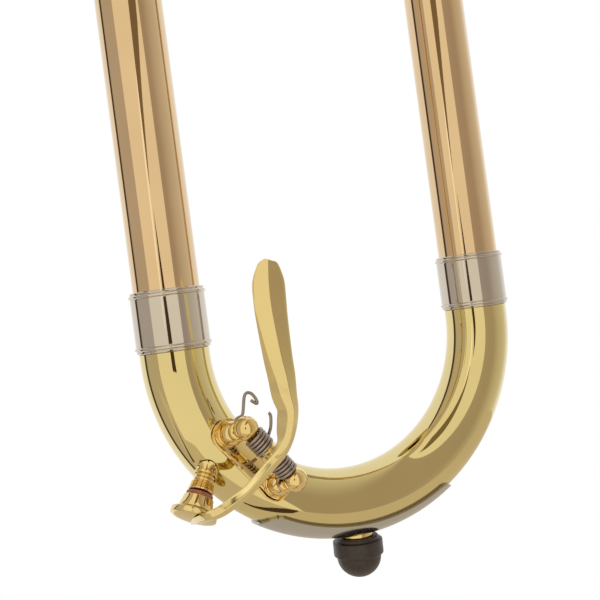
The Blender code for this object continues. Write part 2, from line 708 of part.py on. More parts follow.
def build_lever():
    """Lever from the cup over the hinge to the finger plate, with its hinge tube and the cup's pad."""
    middle, hinge, upward, outside = key_frame()
    rows = lever_sections()
    shape = bmesh.new()
    rings = []
    for i, (centre, width, thickness, side, facing) in enumerate(rows):
        before = rows[max(0, i - 1)][0]
        after = rows[min(len(rows) - 1, i + 1)][0]
        along = (after - before).normalized()
        up = (facing - along * facing.dot(along)).normalized()
        across = along.cross(up)
        section = [(x * width, y * thickness) for x, y in (LEVER_LEFT, LEVER_RIDGE, LEVER_RIGHT, LEVER_BACK)]
        back_left = (section[0][0] - side * math.cos(LEVER_SIDE_SLOPE),
                     section[0][1] - side * math.sin(LEVER_SIDE_SLOPE))
        back = section[-1]
        section += [((back[0] + back_left[0]) / 2, (back[1] + back_left[1]) / 2 + LEVER_HOLLOW * thickness)]
        section += [back_left]
        rings.append([shape.verts.new(centre + across * x + up * y) for x, y in section])
    for first, second in zip(rings, rings[1:]):
        for k in range(len(first)):
            n = (k + 1) % len(first)
            shape.faces.new((first[k], first[n], second[n], second[k]))
    shape.faces.new(list(reversed(rings[0])))
    shape.faces.new(rings[-1])
    bmesh.ops.recalc_face_normals(shape, faces=shape.faces)
    bmesh.ops.triangulate(shape, faces=shape.faces)
    mesh = bpy.data.meshes.new("key_lever")
    shape.to_mesh(mesh)
    shape.free()
    mesh.shade_smooth()
    lever = add("key_lever", mesh, "bright_brass")
    tube_half = (POST_SPACING - POST_BALL_DIAMETER) / 2 - GAP
    boss_half = HINGE_BOSS_LENGTH / 2
    tube = HINGE_TUBE_DIAMETER / 2
    boss = HINGE_BOSS_DIAMETER / 2
    outline = [(0.0, tube_half), (tube, tube_half), (tube, boss_half), (boss, boss_half), (boss, -boss_half)]
    outline += [(tube, -boss_half), (tube, -tube_half), (0.0, -tube_half)]
    barrel = turned("hinge_form", outline, None, standing(middle, hinge, upward), steps=SMALL_ROUND)
    join(lever, barrel)
    lug = bmesh.new()
    bmesh.ops.create_cube(lug, size=1.0)
    lug_mesh = bpy.data.meshes.new("lug_form")
    lug.to_mesh(lug_mesh)
    lug.free()
    web = add("lug_form", lug_mesh)
    web.matrix_world = standing(middle + upward * 0.0024, upward, hinge)
    for vertex in lug_mesh.vertices:
        vertex.co = Vector((vertex.co.x * HINGE_BOSS_LENGTH, vertex.co.y * 0.0032, vertex.co.z * 0.0024))
    join(lever, web)
    foot, direction = nipple_frame()
    pad_top = cup_back() + GAP + PAD_THICKNESS
    pad = PAD_DIAMETER / 2
    outline = [(0.0, pad_top), (pad * 0.6, pad_top - 0.0001), (pad * 0.9, pad_top - 0.0005)]
    outline += [(pad, pad_top - 0.0009), (pad, pad_top - PAD_THICKNESS), (0.0, pad_top - PAD_THICKNESS)]
    pad_form = turned("pad_form", outline, None, standing(foot, direction), steps=SMALL_ROUND)
    join(lever, pad_form)
    reach = POST_SPACING
    bore = cylinder("lever_bore", ROD_DIAMETER / 2 + GAP, middle - hinge * reach, middle + hinge * reach, steps=16)
    cut(lever, bore)
    return lever


def cup_back():
    """Height of the cup's back above the foot of the nipple."""
    return NIPPLE_HEIGHT + GAP + CORK_SHOWING + CUP_DEPTH


def build_cup_and_cork():
    """Cup on the end of the lever, and the cork in it that closes the nipple."""
    foot, direction = nipple_frame()
    stand = standing(foot, direction)
    cork_face = NIPPLE_HEIGHT + GAP
    cork_back = cork_face + CORK_THICKNESS
    cork = CORK_DIAMETER / 2
    outline = [(0.0, cork_back), (cork, cork_back), (cork, cork_face + 0.0002), (cork - 0.0002, cork_face)]
    outline += [(0.0, cork_face)]
    cork_piece = turned("key_cork", outline, "cork", stand)
    back = cup_back()
    rim = back - CUP_DEPTH
    outer = CUP_DIAMETER / 2
    outline = [(0.0, back), (outer, back), (outer, back - 0.0006), (outer - 0.0001, rim + 0.0002)]
    outline += [(outer - 0.0002, rim), (cork + GAP, rim), (cork + GAP, cork_back + GAP), (0.0, cork_back + GAP)]
    cup = turned("key_cup", outline, "bright_brass", stand)
    return [cup, cork_piece]


def spring_course(sign, steps):
    """Course of a spring's wire from its leg under the lever to the end of its last turn."""
    middle, hinge, upward, outside = key_frame()
    wire = SPRING_WIRE / 2
    mean = HINGE_TUBE_DIAMETER / 2 + GAP + wire
    inner_end = HINGE_BOSS_LENGTH / 2 + GAP + wire

    def on_coil(turn, place):
        return middle + hinge * (sign * place) + (upward * math.cos(turn) - outside * math.sin(turn)) * mean

    first = on_coil(SPRING_START, inner_end)
    backward = upward * math.sin(SPRING_START) + outside * math.cos(SPRING_START)
    points = [first + backward * 0.0060 + upward * 0.0007, first + backward * 0.0048, first + backward * 0.0016]
    for i in range(steps + 1):
        turn = SPRING_START + 2 * math.pi * i / SPRING_POINTS
        points.append(on_coil(turn, inner_end + SPRING_PITCH * i / SPRING_POINTS))
    return points


def build_springs():
    """Two torsion springs round the hinge tube, one on each side of the lever."""
    middle, hinge, upward, outside = key_frame()
    full = SPRING_TURNS * SPRING_POINTS
    upper = spring_course(-1, full - 3)
    upper += [middle - hinge * along + upward * rise + outside * out for along, rise, out in UPPER_LEG]
    stem = upper[-1]
    upper += [stem + Vector((-0.0005, 0.0002, 0.0018)), stem + Vector((-0.0002, 0.0002, 0.0036))]
    crest = stem + Vector((UPPER_HOOK_RADIUS - 0.0002, 0.0002, 0.0036))
    for i in range(1, 7):
        angle = math.pi - math.pi * 1.15 * i / 6
        upper.append(crest + Vector((math.cos(angle), 0.0, math.sin(angle))) * UPPER_HOOK_RADIUS)
    lower = spring_course(1, full)
    onward = lower[-1] - lower[-2]
    onward -= hinge * onward.dot(hinge)
    onward.normalize()
    lower += [lower[-1] + onward * 0.0012, lower[-1] + onward * 0.0026]
    springs = []
    for side, points in (("upper", upper), ("lower", lower)):
        radii = [SPRING_WIRE / 2] * len(points)
        springs.append(bent_tube("key_spring_" + side, points, radii, 6, "spring_steel", True))
        print("key_spring_" + side, "least gap to itself %.2f mm" % (self_gap(points) * 1000))
    return springs


def self_gap(points):
    """Least space between two stretches of a wire that aren't neighbours along it."""
    dense = []
    for first, second in zip(points, points[1:]):
        for j in range(4):
            dense.append(first.lerp(second, j / 4))
    run = [0.0]
    for first, second in zip(dense, dense[1:]):
        run.append(run[-1] + (second - first).length)
    least = 1.0
    for i in range(len(dense)):
        for k in range(i + 1, len(dense)):
            if run[k] - run[i] > 6 * SPRING_WIRE:
                least = min(least, (dense[i] - dense[k]).length)
    return least - SPRING_WIRE


def flange(name, axis, radius_at, height, toward, kind):
    """Brace flange: a round plate wrapped on an upright tube, with a coned socket for the brace tube."""
    toward = Vector(toward).normalized()
    heading = math.atan2(toward.y, toward.x)
    half = FLANGE_DIAMETER / 2

    def place(u, v, height_above):
        rise = half * math.sin(u * math.pi / 2)
        width = half * max(0.12, math.cos(u * math.pi / 2))
        radius = radius_at(height + rise) + height_above
        angle = heading + width * v / radius
        away = Vector((math.cos(angle), math.sin(angle), 0.0))
        return axis + away * radius + Vector((0, 0, height + rise))

    plate = wrapped_plate(name, 5, 4, place, GAP, FLANGE_THICKNESS, kind)
    start = radius_at(height) + GAP + FLANGE_THICKNESS * 0.4
    end = radius_at(height) + FLANGE_HEIGHT
    socket = FLANGE_SOCKET_DIAMETER / 2
    hole = BRACE_TUBE_DIAMETER / 2 + GAP
    floor = end - FLANGE_SOCKET_DEPTH
    outline = [(0.0, floor), (hole, floor), (hole, end), (socket, end), (socket - 0.0002, floor)]
    outline += [(socket + 0.0008, start), (0.0, start)]
    boss = turned(name + "_form", outline, None,
                  standing(axis + Vector((0, 0, height)), toward, (0, 0, 1)), steps=12)
    join(plate, boss)
    return plate


def brace(name, first_axis, second_axis, first_radius, second_radius, height, kind, flange_kind):
    """Brace between two upright tubes: a tube held in two flanges."""
    heading = (second_axis - first_axis).normalized()
    pieces = [
        flange(name + "_flange_near", first_axis, first_radius, height, heading, flange_kind),
        flange(name + "_flange_far", second_axis, second_radius, height, -heading, flange_kind),
    ]
    inset = FLANGE_HEIGHT - FLANGE_SOCKET_DEPTH + GAP
    start = first_axis + heading * (first_radius(height) + inset) + Vector((0, 0, height))
    end = second_axis - heading * (second_radius(height) + inset) + Vector((0, 0, height))
    outer = BRACE_TUBE_DIAMETER / 2
    outline = sleeve(outer, outer - BRACE_TUBE_WALL, (end - start).length, 0.0)
    pieces.append(turned(name + "_tube", outline, kind, standing(start, heading, (0, 0, 1)), True, 16))
    return pieces


def build_inner_slide():
    pieces = []
    outer = INNER_TUBE_DIAMETER / 2
    bore = outer - INNER_TUBE_WALL
    stocking = OUTER_TUBE_DIAMETER / 2 - OUTER_TUBE_WALL - SLIDING_GAP
    bottom = CROOK_CENTRE.z + INNER_TUBE_END
    stocking_top = bottom + STOCKING_LENGTH
    barrel = BARREL_DIAMETER / 2
    barrel_bore = BARREL_BORE / 2
    hole = outer + GAP
    for side, leg in (("left", LEFT_LEG), ("right", RIGHT_LEG)):
        outline = [(outer, INNER_TOP), (outer, stocking_top + 0.0006), (stocking, stocking_top)]
        outline += [(stocking, bottom + 0.0004), (stocking - 0.0003, bottom), (bore, bottom), (bore, INNER_TOP)]
        pieces.append(turned("inner_tube_" + side, outline, "chromed_brass", standing(leg), True))
        rise = BARREL_BEAD_RISE
        long = BARREL_BEAD_LENGTH
        groove = BARREL_BOTTOM + long + 2 * GAP + LOCK_RING_LENGTH
        outline = [(barrel, BARREL_TOP), (barrel, groove + long), (barrel + rise, groove + long * 0.8)]
        outline += [(barrel + rise, groove + long * 0.2), (barrel, groove), (barrel, BARREL_BOTTOM + long)]
        outline += [(barrel + rise, BARREL_BOTTOM + long * 0.8), (barrel + rise, BARREL_BOTTOM)]
        outline += [(barrel_bore, BARREL_BOTTOM), (barrel_bore, BARREL_TOP - BARREL_HEAD)]
        outline += [(hole, BARREL_TOP - BARREL_HEAD), (hole, BARREL_TOP)]
        pieces.append(turned("cork_barrel_" + side, outline, "nickel_silver", standing(leg), True))
        low = TUBE_TOP + GAP
        outline = sleeve(barrel_bore - GAP, hole, low + FELT_LENGTH, low)
        pieces.append(turned("barrel_felt_" + side, outline, "felt", standing(leg), True, 16))
    return pieces


def shank_radius(height):
    """Radius of the mouthpiece's shank at a height in the world."""
    return SHANK_TIP_DIAMETER / 2 + (height - SHANK_TIP) * SHANK_TAPER / 2


def build_mouthpiece_end():
    """Receiver on the right leg, the leadpipe inside it, and the mouthpiece."""
    stand = standing(RIGHT_LEG)
    hole = INNER_TUBE_DIAMETER / 2 + GAP
    low = BARREL_TOP + GAP
    body = shank_radius(RECEIVER_TOP) + GAP + RECEIVER_WALL
    ring = body + 0.0010
    outline = [(body + 0.0006, RECEIVER_TOP), (ring, RECEIVER_TOP - 0.0008), (ring, RECEIVER_TOP - 0.0042)]
    outline += [(body, RECEIVER_TOP - 0.0050), (body - 0.0003, low + 0.012), (body + 0.0003, low + 0.0035)]
    outline += [(body + 0.0008, low + 0.0025), (body + 0.0008, low), (hole, low), (hole, INNER_TOP + GAP)]
    outline += [(shank_radius(SHANK_TIP) + GAP, INNER_TOP + GAP), (shank_radius(SHANK_TIP) + GAP, SHANK_TIP)]
    outline += [(shank_radius(RECEIVER_TOP) + GAP, RECEIVER_TOP)]
    receiver = turned("mouthpiece_receiver", outline, "nickel_silver", stand, True)
    pipe = INNER_TUBE_DIAMETER / 2 - INNER_TUBE_WALL - GAP
    outline = sleeve(pipe, pipe - LEADPIPE_WALL, INNER_TOP, INNER_TOP - LEADPIPE_LENGTH)
    leadpipe = turned("leadpipe", outline, "yellow_brass", stand, True, 16)
    top = SHANK_TIP + MOUTHPIECE_LENGTH
    rim = MOUTHPIECE_RIM_DIAMETER / 2
    cup = MOUTHPIECE_CUP_DIAMETER / 2
    throat = MOUTHPIECE_THROAT / 2
    shank_end = RECEIVER_TOP + 0.004
    shank = shank_radius(shank_end)
    lip = (rim - cup) / 2
    crest = rim - lip
    outline = [(rim - lip * (1 - math.cos(a)), top - lip * 0.55 * (1 - math.sin(a)))
               for a in [math.radians(90 - 18 * i) for i in range(6)]]
    outline += [(rim - 0.0002, top - 0.0050), (rim - 0.0014, top - 0.0072), (rim - 0.0026, top - 0.0140)]
    outline += [(rim - 0.0060, top - 0.0215), (rim - 0.0098, top - 0.0285), (shank + 0.0004, top - 0.0350)]
    outline += [(shank, shank_end), (shank_radius(SHANK_TIP), SHANK_TIP)]
    throat_top = top - MOUTHPIECE_CUP_DEPTH
    backbore = SHANK_TIP_DIAMETER / 2 - 0.0007
    outline += [(backbore, SHANK_TIP), (throat, throat_top - 0.004)]
    bowl = 6
    for i in range(bowl + 1):
        share = i / bowl
        depth = MOUTHPIECE_CUP_DEPTH * (1 - share) - lip * 0.5 * share
        outline.append((throat + (cup - throat) * share ** 0.62, top - max(depth, lip * 0.5)))
    outline += [(crest - lip * math.cos(a), top - lip * 0.5 * (1 - math.sin(a)))
                for a in [math.radians(25 + 22 * i) for i in range(3)]]
    mouthpiece = turned("mouthpiece", outline, "silver_plate", stand, True)
    return receiver, leadpipe, mouthpiece


def build_bell_joint():
    """Tenon on the left leg, the receiver of the bell section over it, and the nut that draws them up."""
    stand = standing(LEFT_LEG)
    hole = INNER_TUBE_DIAMETER / 2 + GAP
    bore = INNER_TUBE_DIAMETER / 2 - INNER_TUBE_WALL
    low = BARREL_TOP + GAP
    neck = TENON_NECK_DIAMETER / 2
    collar = TENON_COLLAR_DIAMETER / 2
    base = TENON_BASE_DIAMETER / 2
    tip = TENON_TOP_DIAMETER / 2
    outline = [(tip, TENON_TOP), (base, TENON_COLLAR_TOP), (collar, TENON_COLLAR_TOP)]
    outline += [(collar, low + COLLAR_RISE), (neck, low + COLLAR_RISE), (neck, low), (hole, low)]
    outline += [(hole, INNER_TOP + GAP), (bore, INNER_TOP + GAP), (bore, TENON_TOP)]
    tenon = turned("slide_tenon", outline, "nickel_silver", stand, True)
    nut_low = low + GAP
    flange_top = low + COLLAR_RISE - GAP
    outer = NUT_DIAMETER / 2
    outline = [(outer - 0.0006, nut_low + NUT_LENGTH), (outer, nut_low + NUT_LENGTH - 0.0008)]
    outline += [(outer, nut_low + 0.0008), (outer - 0.0006, nut_low), (neck + GAP, nut_low)]
    outline += [(neck + GAP, flange_top), (collar + GAP, flange_top), (collar + GAP, nut_low + NUT_LENGTH)]
    nut = turned("bell_lock_nut", outline, "nickel_silver", stand, True)
    start = TENON_COLLAR_TOP + GAP
    end = BELL_RECEIVER_TOP
    neckpipe = NECKPIPE_DIAMETER / 2
    body = neckpipe + GAP + 0.0010
    outline = [(body, end), (body + 0.0005, end - 0.0004), (body + 0.0005, end - 0.0020), (body, end - 0.0024)]
    outline += [(body + 0.0003, start + BELL_RECEIVER_THREAD + 0.0030), (collar, start + BELL_RECEIVER_THREAD)]
    outline += [(collar, start), (base + GAP, start), (tip + GAP, TENON_TOP + GAP)]
    outline += [(bore + GAP, TENON_TOP + GAP), (bore + GAP, NECKPIPE_BOTTOM - GAP)]
    outline += [(neckpipe + GAP, NECKPIPE_BOTTOM - GAP), (neckpipe + GAP, end)]
    receiver = turned("bell_receiver", outline, "nickel_silver", stand, True)
    return tenon, nut, receiver


def bell_radius(height):
    """Outer radius of the bell's flare, which follows a power of the distance past its mouth."""
    mouth = BELL_MOUTH_DIAMETER / 2 - RIM_BEAD_DIAMETER / 2
    tail = BELL_TAIL_DIAMETER / 2
    shift = BELL_LENGTH / ((mouth / tail) ** (1 / BELL_FLARE) - 1)
    return mouth * (shift / (height + shift)) ** BELL_FLARE


def bell_side(height, depth):
    """Point of the bell's outline at a depth under its outer skin."""
    step = 0.00001
    slope = (bell_radius(height + step) - bell_radius(height - step)) / (2 * step)
    length = math.hypot(1.0, slope)
    return bell_radius(height) - depth / length, height + depth * slope / length


def bell_heights(top, bottom, count):
    """Heights from top to bottom, closer together toward the mouth, where the flare is quick."""
    growth = (top - bottom) / 0.012
    shares = [1 - i / count for i in range(count + 1)]
    return [bottom + (top - bottom) * ((1 + growth) ** share - 1) / growth for share in shares]


def build_bell():
    """Flare with its rim rolled into a bead, and the stem brazed to it."""
    bead = RIM_BEAD_DIAMETER / 2
    centre = (BELL_MOUTH_DIAMETER / 2 - bead, bead)
    top = BELL_SEAM - GAP / 2
    heights = [z for z in bell_heights(top, 0.0008, FLARE_STATIONS) if bell_radius(z) < centre[0] - bead * 0.75]
    outside = [(bell_radius(z), z) for z in heights]
    inside = [bell_side(z, BELL_WALL) for z in heights]
    inside[0] = (inside[0][0], top)
    rim = arc(centre, bead, math.radians(120), math.radians(-120), 6)
    outline = outside + rim + list(reversed(inside))
    flare = turned("bell_flare", outline, "yellow_brass", None, True, BELL_ROUND)
    heights = bell_heights(BELL_LENGTH, BELL_SEAM + GAP / 2, STEM_STATIONS)
    outside = [(bell_radius(z), z) for z in heights]
    inside = [(bell_side(z, BELL_WALL)[0], z) for z in heights]
    stem = turned("bell_stem", outside + list(reversed(inside)), "yellow_brass", None, True, BELL_ROUND)
    return [flare, stem]


def build_bell_section():
    stand = standing(LEFT_LEG)
    neckpipe = NECKPIPE_DIAMETER / 2
    outline = sleeve(neckpipe, neckpipe - NECKPIPE_WALL, BELL_LENGTH, NECKPIPE_BOTTOM)
    pieces = build_bell()
    pieces.append(turned("neckpipe", outline, "gold_brass", stand, True))
    half = JOINT_FERRULE_LENGTH / 2
    tail = BELL_TAIL_DIAMETER / 2
    for side, leg, pipe, slide in (
        ("neck", LEFT_LEG, neckpipe, TUNING_LEG_NECK_DIAMETER / 2),
        ("bell", Vector(), bell_radius(BELL_LENGTH - half), TUNING_LEG_BELL_DIAMETER / 2),
    ):
        inner = slide + SLIDING_GAP
        outer = inner + SLEEVE_WALL
        outline = [(outer + BEAD_RISE, SLEEVE_TOP), (outer + BEAD_RISE, SLEEVE_TOP - BEAD_LENGTH)]
        outline += sleeve(outer, inner, SLEEVE_TOP - BEAD_LENGTH, SLEEVE_BOTTOM)[:3] + [(inner, SLEEVE_TOP)]
        pieces.append(turned("tuning_sleeve_" + side, outline, "nickel_silver", standing(leg), True))
        lower = pipe + GAP
        upper = outer + GAP
        reach = max(lower, upper) + JOINT_FERRULE_WALL
        outline = beads(reach, BELL_LENGTH + half, BELL_LENGTH - half)
        outline += [(lower, BELL_LENGTH - half), (lower, BELL_LENGTH + GAP / 2)]
        outline += [(upper, BELL_LENGTH + GAP / 2), (upper, BELL_LENGTH + half)]
        pieces.append(turned("joint_ferrule_" + side, outline, "nickel_silver", standing(leg), True))
    return pieces


def build_tuning_slide():
    pieces = []
    bow_radii = []
    half = BOW_FERRULE_LENGTH / 2
    for side, leg, diameter in (
        ("neck", LEFT_LEG, TUNING_LEG_NECK_DIAMETER),
        ("bell", Vector(), TUNING_LEG_BELL_DIAMETER),
    ):
        outer = diameter / 2
        outline = sleeve(outer, outer - TUNING_LEG_WALL, LEG_TOP, LEG_TOP - TUNING_LEG_LENGTH)
        pieces.append(turned("tuning_leg_" + side, outline, "chromed_brass", standing(leg), True))
        inner = outer + GAP
        low = BOW_FERRULE_BOTTOM
        outline = beaded_sleeve(inner + FERRULE_WALL, inner, low + BOW_FERRULE_LENGTH, low)
        pieces.append(turned("bow_ferrule_" + side, outline, "nickel_silver", standing(leg), True))
        bow_radii.append(outer)
    course = [Vector((0.0, -BELL_OFFSET / 2, BOW_END - BOW_CENTRE.z))]
    arcs = 11
    radius = BELL_OFFSET / 2
    for i in range(arcs + 1):
        angle = math.pi * i / arcs
        course.append(Vector((0.0, -radius * math.cos(angle), radius * math.sin(angle))))
    course[0] = Vector((0.0, -radius, BOW_END - BOW_CENTRE.z))
    course.append(Vector((0.0, radius, BOW_END - BOW_CENTRE.z)))
    points = [BOW_CENTRE + point for point in course]
    last = len(points) - 1
    radii = [bow_radii[0] + (bow_radii[1] - bow_radii[0]) * max(0, min(1, (i - 1) / (last - 2)))
             for i in range(last + 1)]
    bow = bent_tube("tuning_bow", points, radii, BENT_SIDES, "yellow_brass")
    solidify(bow, BOW_WALL)
    pieces.append(bow)
    height = BOW_FERRULE_BOTTOM + BOW_FERRULE_LENGTH + TUNING_BRACE_RISE / 2
    length = BELL_OFFSET
    middle = TUNING_BRACE_DIAMETER / 2
    end = TUNING_BRACE_END_DIAMETER / 2
    first = bow_radii[0]
    second = length - bow_radii[1]
    outline = [(0.0, second + 0.002), (end, second + 0.002), (end, second - 0.0012), (middle + 0.0005, second - 0.004)]
    outline += [(middle, second - 0.008), (middle, length / 2 + 0.004), (middle + 0.0012, length / 2 + 0.002)]
    outline += [(middle + 0.0012, length / 2 - 0.002), (middle, length / 2 - 0.004), (middle, first + 0.008)]
    outline += [(middle + 0.0005, first + 0.004), (end, first + 0.0012), (end, first - 0.002), (0.0, first - 0.002)]
    place = LEFT_LEG + Vector((0, 0, height))
    tie = turned("tuning_brace", outline, "nickel_silver", standing(place, (0, 1, 0), (0, 0, 1)), steps=16)
    for leg, tube in ((LEFT_LEG, bow_radii[0]), (Vector(), bow_radii[1])):
        space = cylinder("bow_leg_space", tube + GAP, leg + Vector((0, 0, height - 0.02)),
                         leg + Vector((0, 0, height + 0.02)), steps=ROUND)
        cut(tie, space)
    pieces.append(tie)
    return pieces


def sector(name, outline, start, turn, steps, stand):
    """Cutter or joined form with the outline as its section, swept part of the way round its own Z."""
    shape = bmesh.new()
    section = [shape.verts.new((radius, 0.0, height)) for radius, height in outline]
    bmesh.ops.rotate(shape, verts=section, cent=(0, 0, 0), matrix=Matrix.Rotation(start, 3, "Z"))
    face = shape.faces.new(section)
    bmesh.ops.spin(shape, geom=section + list(face.edges) + [face], cent=(0, 0, 0), axis=(0, 0, 1),
                   angle=turn, steps=steps)
    bmesh.ops.recalc_face_normals(shape, faces=shape.faces)
    mesh = bpy.data.meshes.new(name)
    shape.to_mesh(mesh)
    shape.free()
    form = add(name, mesh)
    form.matrix_world = stand
    return form


def build_slide_lock():
    """Ring that turns on the right cork barrel; its hook catches the stud on the outer slide's collar."""
    barrel = BARREL_DIAMETER / 2
    inner = barrel + GAP
    outer = inner + LOCK_RING_WALL
    low = BARREL_BOTTOM + BARREL_BEAD_LENGTH + GAP
    stand = standing(RIGHT_LEG)
    outline = sleeve(outer, inner, low + LOCK_RING_LENGTH, low)
    ring = turned("slide_lock_ring", outline, "nickel_silver", stand, True)
    hook_outer = outer - 0.00005
    hook_inner = outer - LOCK_HOOK_THICKNESS
    foot_low = low - LOCK_HOOK_DROP
    foot_top = foot_low + LOCK_FOOT_DEPTH
    arm_start = LOCK_STUD_ANGLE - LOCK_TURN - LOCK_ARM_LEAD
    arm = sleeve(hook_outer, hook_inner, low + LOCK_ARM_OVERLAP, foot_low)
    join(ring, sector("hook_arm_form", arm, arm_start, LOCK_ARM_TURN, 4, stand))
    foot = sleeve(hook_outer, hook_inner, foot_top, foot_low)
    join(ring, sector("hook_foot_form", foot, arm_start, LOCK_FOOT_TURN, 8, stand))
    collar = OUTER_TUBE_DIAMETER / 2 + GAP + COLLAR_WALL
    stud = LOCK_STUD_DIAMETER / 2
    away = Vector((math.cos(LOCK_STUD_ANGLE), math.sin(LOCK_STUD_ANGLE), 0.0))
    height = foot_top + GAP + stud
    head = outer + GAP
    outline = [(0.0, head + 0.0011), (stud + 0.0004, head + 0.0011), (stud + 0.0008, head + 0.0007)]
    outline += [(stud + 0.0008, head), (stud, head), (stud, collar + GAP), (0.0, collar + GAP)]
    pin = turned("lock_stud", outline, "nickel_silver",
                 standing(RIGHT_LEG + Vector((0, 0, height)), away), steps=SMALL_ROUND)
    return ring, pin


def build():
    crook = build_crook()
    outer_slide = [crook] + build_outer_tubes() + [build_guard()] + build_bumper() + build_saddle()
    outer_slide.append(build_nipple(crook))
    outer_slide += build_springs()
    collar = OUTER_TUBE_DIAMETER / 2 + GAP + COLLAR_WALL
    outer_slide += brace("outer_brace", LEFT_LEG, RIGHT_LEG, lambda z: collar, lambda z: collar,
                         OUTER_BRACE_Z, "gold_brass", "nickel_silver")
    ring, stud = build_slide_lock()
    outer_slide.append(stud)
    key = [build_lever()] + build_cup_and_cork()
    receiver, leadpipe, mouthpiece = build_mouthpiece_end()
    tenon, nut, bell_receiver = build_bell_joint()
    barrel = BARREL_DIAMETER / 2
    inner_slide = build_inner_slide() + [receiver, leadpipe, tenon]
    inner_slide += brace("inner_brace", LEFT_LEG, RIGHT_LEG, lambda z: barrel, lambda z: barrel,
                         INNER_BRACE_Z, "nickel_silver", "nickel_silver")
    build_bell_section()
    neckpipe = NECKPIPE_DIAMETER / 2
    neck_sleeve = TUNING_LEG_NECK_DIAMETER / 2 + SLIDING_GAP + SLEEVE_WALL
    bell_sleeve = TUNING_LEG_BELL_DIAMETER / 2 + SLIDING_GAP + SLEEVE_WALL
    brace("low_brace", LEFT_LEG, Vector(), lambda z: neckpipe, bell_radius,
          LOW_BRACE_Z, "yellow_brass", "nickel_silver")
    brace("high_brace", LEFT_LEG, Vector(), lambda z: neck_sleeve, lambda z: bell_sleeve,
          BELL_LENGTH + HIGH_BRACE_ABOVE_JOINT, "yellow_brass", "nickel_silver")
    tuning = build_tuning_slide()
    middle, hinge, upward, outside = key_frame()
    angle_pivot = pivot("bell_angle_turn", LEFT_LEG + Vector((0, 0, BARREL_TOP)), (0, 0, 1))
    hang(inner_slide, angle_pivot)
    slide_pivot = pivot("outer_slide_travel", CROOK_CENTRE, (0, 0, -1))
    hang(outer_slide, slide_pivot)
    key_pivot = pivot("water_key_press", middle, -hinge)
    hang(key, key_pivot)
    hang([key_pivot], slide_pivot)
    lock_pivot = pivot("slide_lock_turn", RIGHT_LEG + Vector((0, 0, BARREL_BOTTOM)), (0, 0, 1))
    hang([ring], lock_pivot)
    nut_pivot = pivot("bell_lock_nut_turn", LEFT_LEG + Vector((0, 0, BARREL_TOP)), (0, 0, 1))
    hang([nut], nut_pivot)
    mouthpiece_pivot = pivot("mouthpiece_pull", RIGHT_LEG + Vector((0, 0, RECEIVER_TOP)), (0, 0, 1))
    hang([mouthpiece], mouthpiece_pivot)
    hang([slide_pivot, lock_pivot, nut_pivot, mouthpiece_pivot], angle_pivot)
    hang(tuning, pivot("tuning_slide_pull", BOW_CENTRE, (0, 0, 1)))


build()
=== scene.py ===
"""Alto trombone: fine shapes, finishes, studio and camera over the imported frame."""

import json
import math

import bmesh
import bpy
from mathutils import Matrix, Vector


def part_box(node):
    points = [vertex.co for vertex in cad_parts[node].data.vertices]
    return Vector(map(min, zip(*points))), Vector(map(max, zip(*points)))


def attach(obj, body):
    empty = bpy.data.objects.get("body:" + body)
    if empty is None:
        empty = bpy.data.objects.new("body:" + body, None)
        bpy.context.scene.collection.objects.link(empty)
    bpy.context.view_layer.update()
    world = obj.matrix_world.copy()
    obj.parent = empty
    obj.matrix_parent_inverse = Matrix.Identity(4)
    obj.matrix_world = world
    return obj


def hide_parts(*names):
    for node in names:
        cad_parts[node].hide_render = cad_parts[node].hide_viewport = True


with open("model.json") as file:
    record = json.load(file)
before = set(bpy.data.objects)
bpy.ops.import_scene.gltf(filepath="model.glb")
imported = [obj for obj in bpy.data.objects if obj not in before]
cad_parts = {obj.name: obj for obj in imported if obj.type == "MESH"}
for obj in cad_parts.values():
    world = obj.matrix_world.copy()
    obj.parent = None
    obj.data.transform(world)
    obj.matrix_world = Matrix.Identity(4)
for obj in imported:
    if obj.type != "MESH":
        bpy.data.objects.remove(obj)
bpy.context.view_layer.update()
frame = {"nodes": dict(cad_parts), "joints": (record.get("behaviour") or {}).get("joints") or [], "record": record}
NODES = frame["nodes"]
JOINTS = {joint["name"]: joint for joint in frame["joints"]}
BODY_OF = {node: body for body, nodes in frame["record"]["behaviour"]["bodies"].items() for node in nodes}

# Fineness: steps along a bow, and round turned pieces, the bell, small turned pieces and wires
BOW_STEPS = 96
FINE = 96
BELL_FINE = 144
SMALL_FINE = 40
WIRE_FINE = 5

MM = 0.001

# Clearance between pieces as in the solids, and a narrower one that shows as a fine line
GAP = 0.0003
SHOWN_GAP = 0.00006


def box_middle(node):
    """Middle of a node's box."""
    low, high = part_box(node)
    return (Vector(low) + Vector(high)) / 2


def leg_axis(node):
    """Foot of an upright tube's axis, in the plane z = 0."""
    middle = box_middle(node)
    return Vector((middle.x, middle.y, 0.0))


UP = Vector((0.0, 0.0, 1.0))
NEAR = Vector((0.0, -1.0, 0.0))
LEFT_LEG = leg_axis("outer_tube_left")
RIGHT_LEG = leg_axis("outer_tube_right")
BELL_AXIS = Vector((0.0, 0.0, 0.0))

# Slide bow
BOW_RADIUS = (RIGHT_LEG.x - LEFT_LEG.x) / 2
CROOK_RADIUS = 0.00752
CROOK_WALL = 0.00055
CROOK_NECK_RADIUS = 0.0071
CROOK_NECK_TOP = 0.008
SHOULDER_CHAMFER = 0.00008
FERRULE_BOTTOM = 0.0016
CROOK_CENTRE = Vector((BOW_RADIUS, LEFT_LEG.y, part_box("slide_ferrule_left")[0].z - FERRULE_BOTTOM))

# Ferrule: radii, then its lip and the support behind its bead by distance from the end
FERRULE_BORE = 0.0075
FERRULE_RADIUS = 0.0080
FERRULE_LIP = ((0.00012, 0.0), (0.00002, 0.00012), (0.00002, 0.00034), (0.00008, 0.00042))
BEAD_RADIUS = 0.00042
BEAD_DEPTH = 0.00012
BEAD_PLACE = 0.00095
BEAD_SUPPORT = (0.0001, 0.0002, 0.0004)

